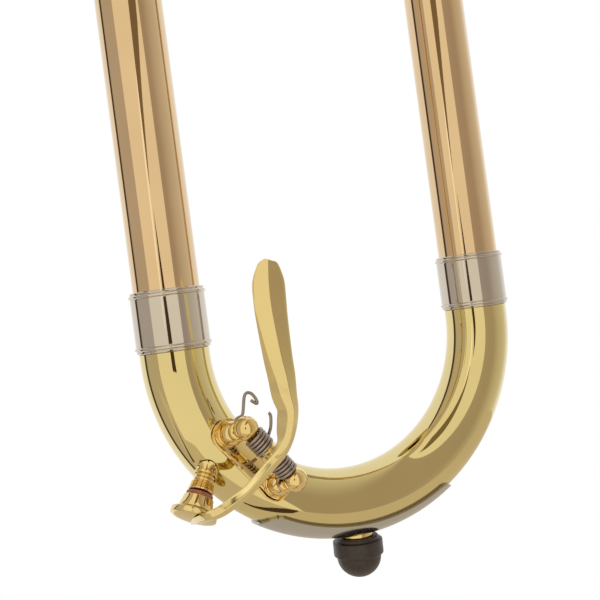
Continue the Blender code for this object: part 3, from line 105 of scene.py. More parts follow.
# Guard on the bow, as angles round the bow from the left leg
GUARD_START = math.radians(56)
GUARD_END = math.radians(120.5)
GUARD_HALF_WRAP = math.radians(56)
GUARD_POINT = math.radians(5)
GUARD_THICKNESS = 0.0006

# Bumper: its heights are from the centre line of the bow's tube
BUMPER_ANGLE = math.radians(88)
BUMPER_TOP = 0.0084
BUMPER_END = 0.01775
STEM_END = 0.01392
STEM_RADIUS = 0.002
SEAT_RADIUS = 0.0037
BUMPER_NECK_RADIUS = 0.0049
BUMPER_BAND_RADIUS = 0.00575
BUMPER_BAND_ROUNDING = 0.0003
BUMPER_DOME_RADIUS = 0.0051

# Water key
KEY_JOINT = JOINTS["water_key_press"]
HINGE_MIDDLE = Vector(KEY_JOINT["pos_m"])
HINGE = -Vector(KEY_JOINT["axis"]).normalized()
POST_SPACING = 0.0151
BALL_RADIUS = 0.00252
ROD_RADIUS = 0.00075
HINGE_TUBE_RADIUS = 0.00165
HINGE_BOSS_RADIUS = 0.0023
HINGE_BOSS_LENGTH = 0.0024
WEB_WIDTH = 0.0034
WEB_HEIGHT = 0.0026
WEB_PLACE = 0.0023
WEB_FLARE = 1.25
SADDLE_HALF_WIDTH = 0.0034
SADDLE_THICKNESS = 0.0006
SADDLE_WAIST = 0.04
SADDLE_LIP = 0.0005
SADDLE_LIP_WIDTH = 0.0008
POST_NECK_RADIUS = 0.0012
NIPPLE_ANGLE = math.radians(34)
NIPPLE_TURN = math.radians(45)
NIPPLE_AIM = math.radians(71)
NIPPLE_LEAN = math.radians(23.5)
NIPPLE_HEIGHT = 0.0045
NIPPLE_BORE = 0.0014
NIPPLE_TIP_RADIUS = 0.00275
NIPPLE_THREAD_RADIUS = 0.00262
THREAD_PITCH = 0.00033
THREAD_DEPTH = 0.00020
FLANGE_RADIUS = 0.00245
FOOT_RADIUS = 0.00222
FOOT_HEIGHT = 0.0012
FOOT_RINGS = ((0.00222, 0.0007), (0.00228, 0.0004), (0.00238, GAP), (NIPPLE_BORE, GAP))
CORK_THICKNESS = 0.0022
CORK_RADIUS = 0.00285
CORK_SHOWING = 0.0009
CUP_RADIUS = 0.0036
CUP_RIM_RADIUS = 0.0032
CUP_DEPTH = 0.0027
CUP_BACK = NIPPLE_HEIGHT + GAP + CORK_SHOWING + CUP_DEPTH
PAD_RADIUS = 0.0049
PAD_THICKNESS = 0.0019
PAD_DOME = 0.0008

# Lever: places of its centre line from the hinge's middle, with the width, the thickness and the depth
# of the side face, all in millimetres, and the direction that the front faces
LEVER_COURSE = (
    ((-15.8, 9.6, -12.4), 1, 0.8, 0.3, (-0.5, -0.29, -0.82)),
    ((-15.5, 5.4, -11.3), 2.6, 1.2, 0.3, (-0.5, -0.29, -0.82)),
    ((-15.2, 2.4, -10.4), 2.9, 1.3, 0.3, (-0.5, -0.35, -0.79)),
    ((-14.3, -0.2, -9.6), 3, 1.4, 0.3, (-0.4, -0.66, -0.64)),
    ((-12.1, -1.3, -8.8), 2.8, 1.4, 0.3, (-0.25, -0.9, -0.35)),
    ((-9.5, -1.9, -7.5), 2.6, 1.4, 0.3, (-0.1, -0.98, -0.1)),
    ((-6.5, -2.6, -5.7), 2.5, 1.4, 0.3, (-0.05, -1, 0.05)),
    ((-2.1, -3.5, -2), 2.5, 1.4, 0.4, (0.05, -1, 0.05)),
    ((0.3, -3.9, -0.1), 2.4, 1.4, 0.6, (0.05, -1, 0.05)),
    ((1.8, -4.3, 1.7), 2.3, 1.5, 1.3, (0.05, -1, 0.05)),
    ((2.9, -4.7, 3.8), 2.2, 1.6, 2.4, (0, -1, 0.05)),
    ((3.8, -4.9, 6.5), 2.3, 1.6, 2.8, (0, -1, 0)),
    ((4.1, -4.9, 9.1), 2.8, 1.6, 2.5, (-0.05, -1, 0)),
    ((3.8, -4.8, 12), 3.7, 1.5, 2.5, (-0.05, -1, 0)),
    ((3.6, -4.7, 15.9), 4.6, 1.4, 2.1, (-0.05, -1, 0)),
    ((3.1, -4.8, 19.8), 5.4, 1.3, 1.6, (-0.05, -1, -0.05)),
    ((2.4, -5.3, 27.2), 6.7, 1.2, 0.8, (-0.05, -1, -0.1)),
    ((2.1, -5.8, 31.2), 7.3, 1.2, 0.4, (-0.05, -1, -0.1)),
    ((2.1, -6.2, 34.8), 7.2, 1.1, 0.3, (-0.05, -1, -0.15)),
    ((2.2, -6.6, 37.2), 5.7, 0.9, 0.2, (-0.05, -1, -0.15)),
    ((2.3, -6.8, 38.5), 4.3, 0.6, 0.2, (-0.05, -1, -0.15)),
    ((2.35, -6.9, 39), 2.8, 0.4, 0.1, (-0.05, -1, -0.15)),
    ((2.4, -6.9, 39.2), 1.5, 0.3, 0.1, (-0.05, -1, -0.15)),
)
LEVER_STEPS = 8

# Section of the lever as shares of its width and thickness: left edge, ridge, right edge, right of the
# back; then the hollow of the back, the reach of each corner's rounding and the slope of the side face
LEVER_SHAPE = ((-0.46, 0.20), (-0.03, 0.60), (0.48, 0.18), (0.40, -0.40))
LEVER_HOLLOW = 0.10
LEVER_ROUNDING = (0.00022, 0.00016, 0.00045, 0.00035, 0.0006, 0.00022)
LEVER_SIDE_SLOPE = math.radians(50)

# Springs: wire and turns; lengths along the lower one's straight legs; (x, z) of the upper one's
# legs from the hinge's middle in millimetres, each leg in one plane
SPRING_WIRE = 0.00068
SPRING_PITCH = 0.00077
SPRING_TURNS = 5
SPRING_POINTS = 16
SPRING_START = math.radians(215)
UPPER_START = math.radians(150)
LOWER_INNER_LEG = (0.0056, 0.0042, 0.0028, 0.0014)
LOWER_OUTER_LEG = (0.0010, 0.0022)
INNER_LEG_DEPTH = 0.8
INNER_LEG = ((0.93, 8.28), (1.18, 8.12), (1.3, 7.7), (1.28, 7), (1.12, 5.96), (0.86, 4.7))
OUTER_LEG_DEPTH = 3
OUTER_LEG = (
    (-4.87, 5.49), (-5.52, 6.33), (-5.77, 7.29), (-5.4, 8.09), (-4.64, 8.25), (-4.06, 8.36),
    (-3.74, 9.34), (-3.51, 10.55), (-3.27, 11.76), (-2.98, 12.62), (-2.39, 13.03), (-1.63, 12.78),
    (-1.02, 12.1), (-0.58, 11.15), (-0.41, 10.47), (-0.7, 10.29), (-1.26, 10.76), (-1.8, 11.26),
)

# Bell and tuning bow
BELL_MOUTH_RADIUS = 0.0885
BELL_TAIL_RADIUS = 0.009
BELL_LENGTH = 0.296
BELL_WALL = 0.0006
BELL_FLARE = 0.83
BELL_SEAM = 0.118
RIM_BEAD_RADIUS = 0.0019
TUNING_BOW_RADII = (0.0075, 0.0085)
TUNING_BOW_WALL = 0.0006

# Camera, fitted to the photograph: its place, the point of the bow that it looks at, roll and lens
CAMERA_PLACE = Vector((-0.04374, -0.28548, -0.38700))
CAMERA_AIM = Vector((0.03058, -0.10600, -0.38523))
CAMERA_ROLL = math.radians(7.597)
CAMERA_LENS = 50.85


# Frames of the slide bow and of the water key

def bow_frame(angle):
    """Centre of the bow's tube at an angle, with the outward and forward directions there."""
    outward = Vector((-math.cos(angle), 0.0, -math.sin(angle)))
    forward = Vector((math.sin(angle), 0.0, -math.cos(angle)))
    return CROOK_CENTRE + outward * BOW_RADIUS, outward, forward


def bow_angle(point):
    """Angle of the bow's section that a point lies in."""
    offset = point - CROOK_CENTRE
    return math.atan2(-offset.z, -offset.x)


def onto_bow(point, height):
    """Nearest point at a height above the bow's tube."""
    centre = bow_frame(bow_angle(point))[0]
    away = (point - centre).normalized()
    return centre + away * (CROOK_RADIUS + height)


def slid(point, direction, height, inward=True):
    """Point slid along a direction to a height above the bow's tube; if not inward, only when it is lower."""
    for turn in range(8):
        away = point - bow_frame(bow_angle(point))[0]
        short = CROOK_RADIUS + height - away.length
        if short <= 0 and not inward:
            break
        point = point + direction * (short / max(0.4, direction.dot(away.normalized())))
    return point


KEY_CENTRE, KEY_OUTWARD = bow_frame(bow_angle(HINGE_MIDDLE))[:2]
KEY_UPWARD = (HINGE_MIDDLE - KEY_CENTRE).normalized()
KEY_OUTSIDE = KEY_UPWARD.cross(HINGE)
if KEY_OUTSIDE.dot(KEY_OUTWARD) < 0:
    KEY_OUTSIDE = -KEY_OUTSIDE


def nipple_frame():
    """Point of the bow's surface under the nipple, and the direction of the nipple, which leans."""
    centre, outward, forward = bow_frame(NIPPLE_ANGLE)
    foot = centre + (NEAR * math.cos(NIPPLE_TURN) + outward * math.sin(NIPPLE_TURN)) * CROOK_RADIUS
    across = NEAR * math.cos(NIPPLE_AIM) + outward * math.sin(NIPPLE_AIM)
    return foot, across * math.cos(NIPPLE_LEAN) + forward * math.sin(NIPPLE_LEAN)


def put(name, data):
    """Object in the scene."""
    thing = bpy.data.objects.new(name, data)
    bpy.context.scene.collection.objects.link(thing)
    return thing


def standing(place, upward=UP, toward=Vector((1, 0, 0))):
    """Matrix that stands a piece at a place, its own Z along upward and its X near toward."""
    up = upward.normalized()
    side = toward - up * up.dot(toward)
    if side.length < 1e-6:
        side = up.orthogonal()
    side.normalize()
    turn = Matrix((side, up.cross(side), up)).transposed().to_4x4()
    return Matrix.Translation(Vector(place)) @ turn


# Finishes

def maker(tree):
    """Empty a node tree; the result adds a node, its sockets fed by values, outputs or other nodes."""
    tree.nodes.clear()

    def make(kind, sockets=(), **values):
        node = tree.nodes.new(kind)
        for key, value in {**dict(sockets), **values}.items():
            if isinstance(value, bpy.types.Node):
                value = value.outputs[0]
            if isinstance(value, bpy.types.NodeSocket):
                tree.links.new(value, node.inputs[key])
            elif isinstance(key, int) or key in node.inputs:
                node.inputs[key].default_value = value
            else:
                setattr(node, key, value)
        return node

    return make


def new_skin(name):
    """New material, and the function that adds a node to it."""
    skin = bpy.data.materials.new(name)
    skin.use_nodes = True
    return skin, maker(skin.node_tree)


def noise(make, scale, detail, roughness=0.55, stretch=(1, 1, 1)):
    """Noise over the object's own coordinates, drawn out along an axis."""
    place = make("ShaderNodeTexCoord").outputs["Object"]
    mapped = make("ShaderNodeMapping", Vector=place, Scale=stretch)
    return make("ShaderNodeTexNoise", Vector=mapped, Scale=scale, Detail=detail, Roughness=roughness)


def ramp(make, share, *stops):
    """Colour by a share, with the stops given as (place, colour)."""
    node = make("ShaderNodeValToRGB", Fac=share)
    band = node.color_ramp
    while len(band.elements) < len(stops):
        band.elements.new(0.5)
    for element, (place, colour) in zip(band.elements, stops):
        element.position = place
        element.color = (*colour, 1.0)
    return node


def finished(skin, make, tint, bump, pattern, gloss, values):
    """Material with a colour, bumps, a roughness between two values by a pattern, and more values."""
    rough = make("ShaderNodeMapRange", {"Value": pattern, "To Min": gloss[0], "To Max": gloss[1]})
    sockets = {"Base Color": tint, "Roughness": rough, "Normal": bump}
    make("ShaderNodeOutputMaterial", Surface=make("ShaderNodeBsdfPrincipled", {**sockets, **values}))
    return skin


def metal(name, colour, rough, drift, lacquer=0.0, grain=(1, 1, 1), grain_scale=700, grain_depth=0.02):
    """Metal with a slight drift of tone, fine polishing lines, soft waves and any lacquer."""
    skin, make = new_skin(name)
    low, high = [tuple(min(1.0, c * (1 + side * drift)) for c in colour) for side in (-1, 1)]
    tint = ramp(make, noise(make, 55, 4.0), (0.30, low), (0.70, high))
    lines = noise(make, grain_scale, 5.0, 0.6, grain)
    fine = make("ShaderNodeBump", Strength=grain_depth, Distance=0.00002, Height=lines)
    soft = make("ShaderNodeBump", Strength=0.05, Distance=0.0001, Height=noise(make, 120, 1.0), Normal=fine)
    return finished(skin, make, tint, soft, lines, (rough * 0.6, rough * 1.5),
                    {"Metallic": 1.0, "Coat Weight": lacquer, "Coat Roughness": 0.03})


def soft_matter(name, dark, light, rough, scale, depth, sheen=0.0):
    """Rubber, cork or felt: grained colour and a grained surface."""
    skin, make = new_skin(name)
    grains = noise(make, scale, 8.0, 0.7)
    height = make("ShaderNodeBump", Strength=0.5, Distance=depth, Height=grains)
    return finished(skin, make, ramp(make, grains, (0.35, dark), (0.65, light)), height, grains,
                    (rough * 0.85, min(1.0, rough * 1.15)), {"Sheen Weight": sheen})


UPRIGHT_GRAIN = (1.0, 1.0, 0.02)
ROUND_GRAIN = (0.05, 0.05, 1.0)
FINISHES = {
    "gold_brass": metal("gold_brass_lacquered", (0.72, 0.535, 0.317), 0.035, 0.03, 0.35, UPRIGHT_GRAIN),
    "yellow_brass": metal("yellow_brass_lacquered", (0.72, 0.605, 0.285), 0.035, 0.03, 0.35),
    "bright_brass": metal("cast_brass_lacquered", (0.80, 0.605, 0.255), 0.03, 0.04, 0.25),
    "key_brass": metal("forged_brass_lacquered", (0.765, 0.625, 0.295), 0.13, 0.04, 0.15),
    "nickel_silver": metal("nickel_silver_polished", (0.60, 0.55, 0.48), 0.045, 0.03, 0.0, ROUND_GRAIN),
    "satin_nickel": metal("nickel_silver_satin", (0.50, 0.49, 0.45), 0.16, 0.04, 0.0, (1, 1, 1), 500, 0.05),
    "chromed_brass": metal("hard_chrome", (0.62, 0.63, 0.64), 0.04, 0.02, 0.0, UPRIGHT_GRAIN),
    "spring_steel": metal("spring_steel_drawn", (0.36, 0.31, 0.28), 0.24, 0.10, 0.0, (1, 1, 1), 1500, 0.10),
    "silver_plate": metal("silver_plate", (0.83, 0.82, 0.79), 0.035, 0.02, 0.0, ROUND_GRAIN),
    "rubber": soft_matter("moulded_rubber", (0.022, 0.014, 0.011), (0.036, 0.024, 0.019), 0.38, 900, 0.00003),
    "cork": soft_matter("cut_cork", (0.20, 0.05, 0.03), (0.42, 0.16, 0.09), 0.75, 1400, 0.00008),
    "felt": soft_matter("pressed_felt", (0.06, 0.02, 0.02), (0.12, 0.04, 0.04), 0.95, 2600, 0.0002, 0.4),
}
KIND_OF = {
    "gold_brass": ("outer_tube_left", "outer_tube_right", "neckpipe", "outer_brace_tube"),
    "yellow_brass": ("slide_crook", "tuning_bow", "bell_flare", "bell_stem", "leadpipe", "low_brace_tube",
                     "high_brace_tube"),
    "bright_brass": ("key_cup", "key_saddle", "bumper_seat", "drain_nipple"),
    "key_brass": ("key_lever",),
    "satin_nickel": ("bow_guard",),
    "chromed_brass": ("inner_tube_left", "inner_tube_right", "tuning_leg_neck", "tuning_leg_bell"),
    "spring_steel": ("hinge_rod", "key_spring_upper", "key_spring_lower"),
    "silver_plate": ("mouthpiece",),
    "rubber": ("bumper_rubber",),
    "cork": ("key_cork",),
    "felt": ("barrel_felt_left", "barrel_felt_right"),
}
KIND = {node: kind for kind, nodes in KIND_OF.items() for node in nodes}


def paint(thing, node):
    """Give a thing a node's finish."""
    thing.data.materials.clear()
    thing.data.materials.append(FINISHES[KIND.get(node, "nickel_silver")])


def dress(thing, node):
    """Give a piece a node's finish, slot and body, and let it stand for the node."""
    paint(thing, node)
    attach(thing, BODY_OF[node])
    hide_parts(node)


# Shapes

def piece(name, shape, sharp=35):
    """Object from a bmesh, smooth but for edges sharper than an angle, its faces outward."""
    bmesh.ops.recalc_face_normals(shape, faces=shape.faces)
    if shape.calc_volume(signed=True) < 0:
        bmesh.ops.reverse_faces(shape, faces=shape.faces)
    mesh = bpy.data.meshes.new(name)
    shape.to_mesh(mesh)
    shape.free()
    mesh.shade_smooth()
    mesh.set_sharp_from_angle(angle=math.radians(sharp))
    return put(name, mesh)


def soften(thing, width, segments=3, angle=25):
    """Round the edges a little."""
    bevel = thing.modifiers.new("edges", "BEVEL")
    bevel.width = width
    bevel.segments = segments
    bevel.limit_method = "ANGLE"
    bevel.angle_limit = math.radians(angle)
    bevel.harden_normals = True


def bridged(shape, first, second):
    """Faces between two rings of as many points."""
    for k in range(len(first)):
        n = (k + 1) % len(first)
        shape.faces.new((first[k], first[n], second[n], second[k]))


def circle(steps):
    """Cosine and sine of every step round a circle."""
    turns = [2 * math.pi * i / steps for i in range(steps)]
    return [(math.cos(turn), math.sin(turn)) for turn in turns]


def turned(name, outline, stand, closed=True, steps=FINE):
    """Outline of (radius, height) pairs turned about its own Z; a closed outline is a hollow piece."""
    shape = bmesh.new()
    rings = []
    for radius, height in outline:
        if radius < 1e-7:
            rings.append([shape.verts.new((0.0, 0.0, height))])
        else:
            rings.append([shape.verts.new((radius * x, radius * y, height)) for x, y in circle(steps)])
    pairs = list(zip(rings, rings[1:]))
    if closed:
        pairs.append((rings[-1], rings[0]))
    for first, second in pairs:
        for i in range(steps):
            n = (i + 1) % steps
            corners = [first[i % len(first)], first[n % len(first)]]
            corners += [second[n % len(second)], second[i % len(second)]]
            distinct = list(dict.fromkeys(corners))
            if len(distinct) > 2:
                shape.faces.new(distinct)
    thing = piece(name, shape)
    thing.data.transform(stand)
    return thing


def section_of(node, place, axis):
    """Half section of a turned node as (radius, height) pairs in order, and whether it is closed."""
    mesh = NODES[node].data
    side = axis.orthogonal().normalized()
    across = axis.cross(side)
    flat = []
    for vertex in mesh.vertices:
        offset = vertex.co - place
        x, y = offset.dot(side), offset.dot(across)
        flat.append((math.hypot(x, y), offset.dot(axis), math.atan2(y, x)))
    widest = max(flat)
    chosen = {}
    for i, (radius, height, angle) in enumerate(flat):
        turn = (angle - widest[2] + math.pi) % (2 * math.pi) - math.pi
        if radius < 2e-5 or abs(turn) < 0.02:
            chosen[i] = (round(radius * 1e5), round(height * 1e5))
    beside = {}
    for edge in mesh.edges:
        first, second = edge.vertices
        if first in chosen and second in chosen and chosen[first] != chosen[second]:
            beside.setdefault(chosen[first], set()).add(chosen[second])
            beside.setdefault(chosen[second], set()).add(chosen[first])
    on_axis = [key for key in beside if key[0] < 2]
    for key in on_axis:
        beside[key] -= set(on_axis)
    ends = [key for key, near in beside.items() if len(near) == 1]
    walk = [max(ends, key=lambda key: key[1]) if ends else max(beside)]
    while True:
        onward = sorted(beside[walk[-1]] - set(walk))
        if not onward:
            break
        walk.append(onward[0])
    points = [(0.0 if key[0] < 2 else key[0] * 1e-5, key[1] * 1e-5) for key in walk]
    return points, not ends


def refined(node, place, axis=UP, steps=FINE):
    """Fine version of a turned node."""
    outline, closed = section_of(node, place, axis)
    thing = turned(node + "_fine", outline, standing(place, axis), closed, steps)
    soften(thing, 0.00012)
    dress(thing, node)


def swept(name, points, radii, normal, sides, wall):
    """Hollow round tube along points that lie in a plane."""
    shape = bmesh.new()
    skins = []
    for inset in (0.0, wall):
        rings = []
        for i, point in enumerate(points):
            before = points[max(0, i - 1)]
            after = points[min(len(points) - 1, i + 1)]
            along = (after - before).normalized()
            side = normal.cross(along).normalized()
            radius = radii[i] - inset
            rings.append([shape.verts.new(point + (side * x + normal * y) * radius)
                          for x, y in circle(sides)])
        for first, second in zip(rings, rings[1:]):
            bridged(shape, *((second, first) if skins else (first, second)))
        skins.append(rings)
    for end in (0, -1):
        bridged(shape, skins[0][end], skins[1][end])
    return piece(name, shape)


def wire(name, points, radius, finish_node, body):
    """Round wire on a smooth curve through the points."""
    data = bpy.data.curves.new(name, "CURVE")
    data.dimensions = "3D"
    data.bevel_depth = radius
    data.bevel_resolution = WIRE_FINE
    data.use_fill_caps = True
    data.resolution_u = 4
    line = data.splines.new("NURBS")
    line.points.add(len(points) - 1)
    for target, point in zip(line.points, points):
        target.co = (*point, 1.0)
    line.order_u = 4
    line.use_endpoint_u = True
    thing = put(name, data)
    paint(thing, finish_node)
    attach(thing, body)
    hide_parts(finish_node)


def bent_slab(name, columns, rows, place, low, thickness):
    """Slab bent over a tube. place(u, v, height) gives the point at a height above the tube."""
    shape = bmesh.new()
    bmesh.ops.create_grid(shape, x_segments=columns, y_segments=rows, size=1.0)
    raised = bmesh.ops.extrude_face_region(shape, geom=list(shape.faces))
    top = {item for item in raised["geom"] if isinstance(item, bmesh.types.BMVert)}
    for vertex in shape.verts:
        vertex.co = place(vertex.co.x, vertex.co.y, low + thickness if vertex in top else low)
    return piece(name, shape)


def arc(centre, radius, start, stop, count):
    """Points of an arc in an outline; angles in degrees from the outward direction."""
    points = []
    for i in range(count + 1):
        angle = math.radians(start + (stop - start) * i / count)
        points.append((centre[0] + radius * math.cos(angle), centre[1] + radius * math.sin(angle)))
    return points


def domed(radius, base, rise, angles):
    """Points of an elliptic dome in an outline; angles in degrees from the outward direction."""
    turns = [math.radians(angle) for angle in angles]
    return [(radius * math.cos(turn), base + rise * math.sin(turn)) for turn in turns]


# Slide bow and its fittings

def build_crook():
    """Slide bow with its two necks."""
    shoulder = FERRULE_BOTTOM - SHOWN_GAP
    neck = [(CROOK_NECK_TOP, CROOK_NECK_RADIUS), (shoulder, CROOK_NECK_RADIUS)]
    neck.append((shoulder - SHOULDER_CHAMFER, CROOK_RADIUS))
    course = [(-BOW_RADIUS, z, radius) for z, radius in neck]
    for i in range(BOW_STEPS + 1):
        angle = math.pi * i / BOW_STEPS
        course.append((-BOW_RADIUS * math.cos(angle), -BOW_RADIUS * math.sin(angle), CROOK_RADIUS))
    course += [(BOW_RADIUS, z, radius) for z, radius in neck[::-1]]
    points = [CROOK_CENTRE + Vector((x, 0.0, z)) for x, z, radius in course]
    radii = [radius for x, z, radius in course]
    dress(swept("crook_skin", points, radii, NEAR, FINE, CROOK_WALL), "slide_crook")


def build_ferrule(node, leg):
    """Slide ferrule: a lip, a fine groove and a half-round bead at each end."""
    low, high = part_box(node)

    def end(edge, inward):
        points = [(FERRULE_RADIUS - depth, edge + inward * distance) for depth, distance in FERRULE_LIP]
        crest = edge + inward * BEAD_PLACE
        points += [(FERRULE_RADIUS - BEAD_DEPTH + BEAD_RADIUS * math.cos(a),
                    crest + BEAD_RADIUS * math.sin(a) * inward)
                   for a in [math.radians(-80 + 20 * i) for i in range(9)]]
        points += [(FERRULE_RADIUS, crest + inward * (BEAD_RADIUS + step)) for step in BEAD_SUPPORT]
        return points

    outline = end(high.z, -1) + end(low.z, 1)[::-1] + [(FERRULE_BORE, low.z), (FERRULE_BORE, high.z)]
    dress(turned(node + "_fine", outline, standing(leg)), node)


def build_guard():
    """Guard plate with pointed ends round the outside of the bow."""
    columns = 150
    point_columns = 24
    body_columns = columns - 2 * point_columns
    body = GUARD_END - GUARD_START - 2 * GUARD_POINT

    def place(u, v, height):
        column = columns * (u + 1) / 2
        from_end = min(column, columns - column)
        turn = math.pi / 2 * min(1.0, from_end / point_columns)
        depth = GUARD_POINT * (1 - math.cos(turn)) + body * max(0.0, from_end - point_columns) / body_columns
        angle = GUARD_START + depth if u < 0 else GUARD_END - depth
        wrap = GUARD_HALF_WRAP * max(0.04, math.sin(turn))
        centre, outward, forward = bow_frame(angle)
        away = outward * math.cos(wrap * v) + NEAR * math.sin(wrap * v)
        return centre + away * (CROOK_RADIUS + height)

    guard = bent_slab("guard_plate", columns, 44, place, SHOWN_GAP, GUARD_THICKNESS)
    soften(guard, 0.00018, 3, 50)
    dress(guard, "bow_guard")


def build_bumper():
    """Brass seat that follows the guard, and the rubber bumper with its wider band and domed foot."""
    centre, outward, forward = bow_frame(BUMPER_ANGLE)
    stand = standing(centre, outward, NEAR)
    top = BUMPER_TOP
    level = top - SHOWN_GAP
    outline = [(0.0, STEM_END), (STEM_RADIUS, STEM_END), (STEM_RADIUS, level), (SEAT_RADIUS - 0.0001, level)]
    outline += [(SEAT_RADIUS, level - 0.0001), (SEAT_RADIUS, 0.0), (STEM_RADIUS, 0.0), (0.0, 0.0)]
    plate = turned("bumper_seat_fine", outline, Matrix(), False)
    over_guard = SHOWN_GAP + GUARD_THICKNESS + SHOWN_GAP
    for vertex in plate.data.vertices:
        if vertex.co.z <= 0.001:
            spot = stand @ Vector((vertex.co.x, vertex.co.y, 0.0))
            seated = slid(spot + outward * (CROOK_RADIUS + over_guard), outward, over_guard)
            vertex.co.z = (seated - spot).dot(outward)
    plate.data.transform(stand)
    dress(plate, "bumper_seat")
    bore = STEM_RADIUS + SHOWN_GAP
    neck = BUMPER_NECK_RADIUS
    band = BUMPER_BAND_RADIUS - BUMPER_BAND_ROUNDING
    dome = BUMPER_DOME_RADIUS
    outline = [(0.0, STEM_END + GAP), (bore, STEM_END + GAP), (bore, top), (neck - 0.0002, top)]
    outline += [(neck, top + 0.0002), (neck + 0.00005, top + 0.0007)]
    outline += arc((band, top + 0.0011), BUMPER_BAND_ROUNDING, -80, 0, 4)
    outline += arc((band, top + 0.0039), BUMPER_BAND_ROUNDING, 0, 80, 4)
    outline += arc((dome + 0.0002, top + 0.0045), 0.0002, 260, 180, 3)
    outline += domed(dome, top + 0.0045, BUMPER_END - top - 0.0045, [5 * i for i in range(1, 18)])
    outline += [(0.0, BUMPER_END)]
    dress(turned("bumper_rubber_fine", outline, stand, False), "bumper_rubber")


# Water key

def build_saddle():
    """Foot plate with two lobes, and on each a turned post that ends in a ball."""
    foot = KEY_CENTRE + KEY_UPWARD * CROOK_RADIUS
    half = POST_SPACING / 2
    length = half + SADDLE_HALF_WIDTH

    def place(u, v, height):
        along = length * math.sin(u * math.pi / 2)
        beyond = max(0.0, abs(along) - half) / SADDLE_HALF_WIDTH
        waist = 1 - SADDLE_WAIST * max(0.0, 1 - (along / half) ** 2)
        width = SADDLE_HALF_WIDTH * waist * max(0.04, math.sqrt(max(0.0, 1 - beyond ** 2)))
        if height > SADDLE_THICKNESS:
            from_edge = min(length - abs(along), SADDLE_HALF_WIDTH * (1 - abs(v)))
            inside = min(1.0, from_edge / SADDLE_LIP_WIDTH)
            height += SADDLE_LIP * math.sin(math.pi * (0.25 + 0.75 * inside))
        return onto_bow(foot + HINGE * along + KEY_OUTSIDE * (width * v), height)

    plate = bent_slab("saddle_plate", 96, 40, place, GAP, SADDLE_THICKNESS)
    soften(plate, 0.00012, 3, 50)
    dress(plate, "key_saddle")
    for side, sign in (("upper", -1), ("lower", 1)):
        head = HINGE_MIDDLE + HINGE * (sign * half)
        base = onto_bow(foot + HINGE * (sign * half), GAP + 0.0002)
        height = (head - base).length
        start = -math.degrees(math.acos(POST_NECK_RADIUS / BALL_RADIUS))
        outline = [(0.0, height + BALL_RADIUS)] + arc((0.0, height), BALL_RADIUS, 84, start, 22)
        outline += [(0.0011, height * 0.64)] + arc((0.0013, height * 0.57), 0.0009, 65, -65, 8)
        outline += [(0.0012, height * 0.44)] + arc((0.0007, height * 0.27), 0.0019, 50, -45, 9)
        outline += arc((0.0022, height * 0.055), 0.0005, 60, -40, 4) + [(0.0027, 0.0), (0.0, 0.0)]
        post = turned("post_" + side, outline, standing(base, head - base), False, 64)
        dress(post, "key_saddle")


def build_rod():
    """Hinge rod with slightly domed ends that show in the balls."""
    reach = POST_SPACING / 2 + BALL_RADIUS * 0.8
    half = [(0.0, reach), (ROD_RADIUS * 0.7, reach - 0.00005), (ROD_RADIUS, reach - 0.0002)]
    outline = half + [(radius, -height) for radius, height in half[::-1]]
    dress(turned("rod_fine", outline, standing(HINGE_MIDDLE, HINGE), False, SMALL_FINE), "hinge_rod")


def build_nipple():
    """Turned nipple: a neck that stands on the bow, a flange, rings and a thread of fine grooves."""
    foot, direction = nipple_frame()
    top = NIPPLE_HEIGHT
    tip = NIPPLE_TIP_RADIUS
    thread = NIPPLE_THREAD_RADIUS
    outline = [(NIPPLE_BORE, top - 0.0002), (NIPPLE_BORE + 0.0002, top), (thread, top), (tip, top - 0.00012)]
    outline += [(tip, top - 0.00042), (thread, top - 0.00054)]
    for i in range(4):
        level = top - 0.00062 - THREAD_PITCH * i
        reach = thread - 0.00004 * i
        outline += [(reach - THREAD_DEPTH, level), (reach, level - 0.00009), (reach, level - 0.00018)]
    outline += [(0.00205, 0.00245)] + arc((0.00185, 0.00205), 0.00042, 60, -60, 8)
    outline += [(0.00190, 0.00160)] + arc((0.00180, 0.00122), 0.00036, 60, -60, 7)
    outline += [(0.00195, 0.00084), (FLANGE_RADIUS - 0.0002, 0.00080)]
    outline += arc((FLANGE_RADIUS - 0.0002, 0.0006), 0.0002, 90, 0, 4)
    outline += arc((FLANGE_RADIUS - 0.0002, 0.0003), 0.0002, 0, -80, 4)
    free = len(outline)
    outline += [(FOOT_RADIUS, 0.0001)] + [(radius, 0.0) for radius, height in FOOT_RINGS]
    heights = [FOOT_HEIGHT] + [height for radius, height in FOOT_RINGS]
    side = direction.orthogonal().normalized()
    across = direction.cross(side)
    shape = bmesh.new()
    rings = []
    for i, (radius, height) in enumerate(outline):
        ring = []
        for x, y in circle(80):
            point = foot + (side * x + across * y) * radius + direction * height
            point = slid(point, direction, heights[i - free] if i >= free else GAP, i >= free)
            ring.append(shape.verts.new(point))
        rings.append(ring)
    for first, second in zip(rings, rings[1:] + rings[:1]):
        bridged(shape, first, second)
    dress(piece("nipple_fine", shape), "drain_nipple")


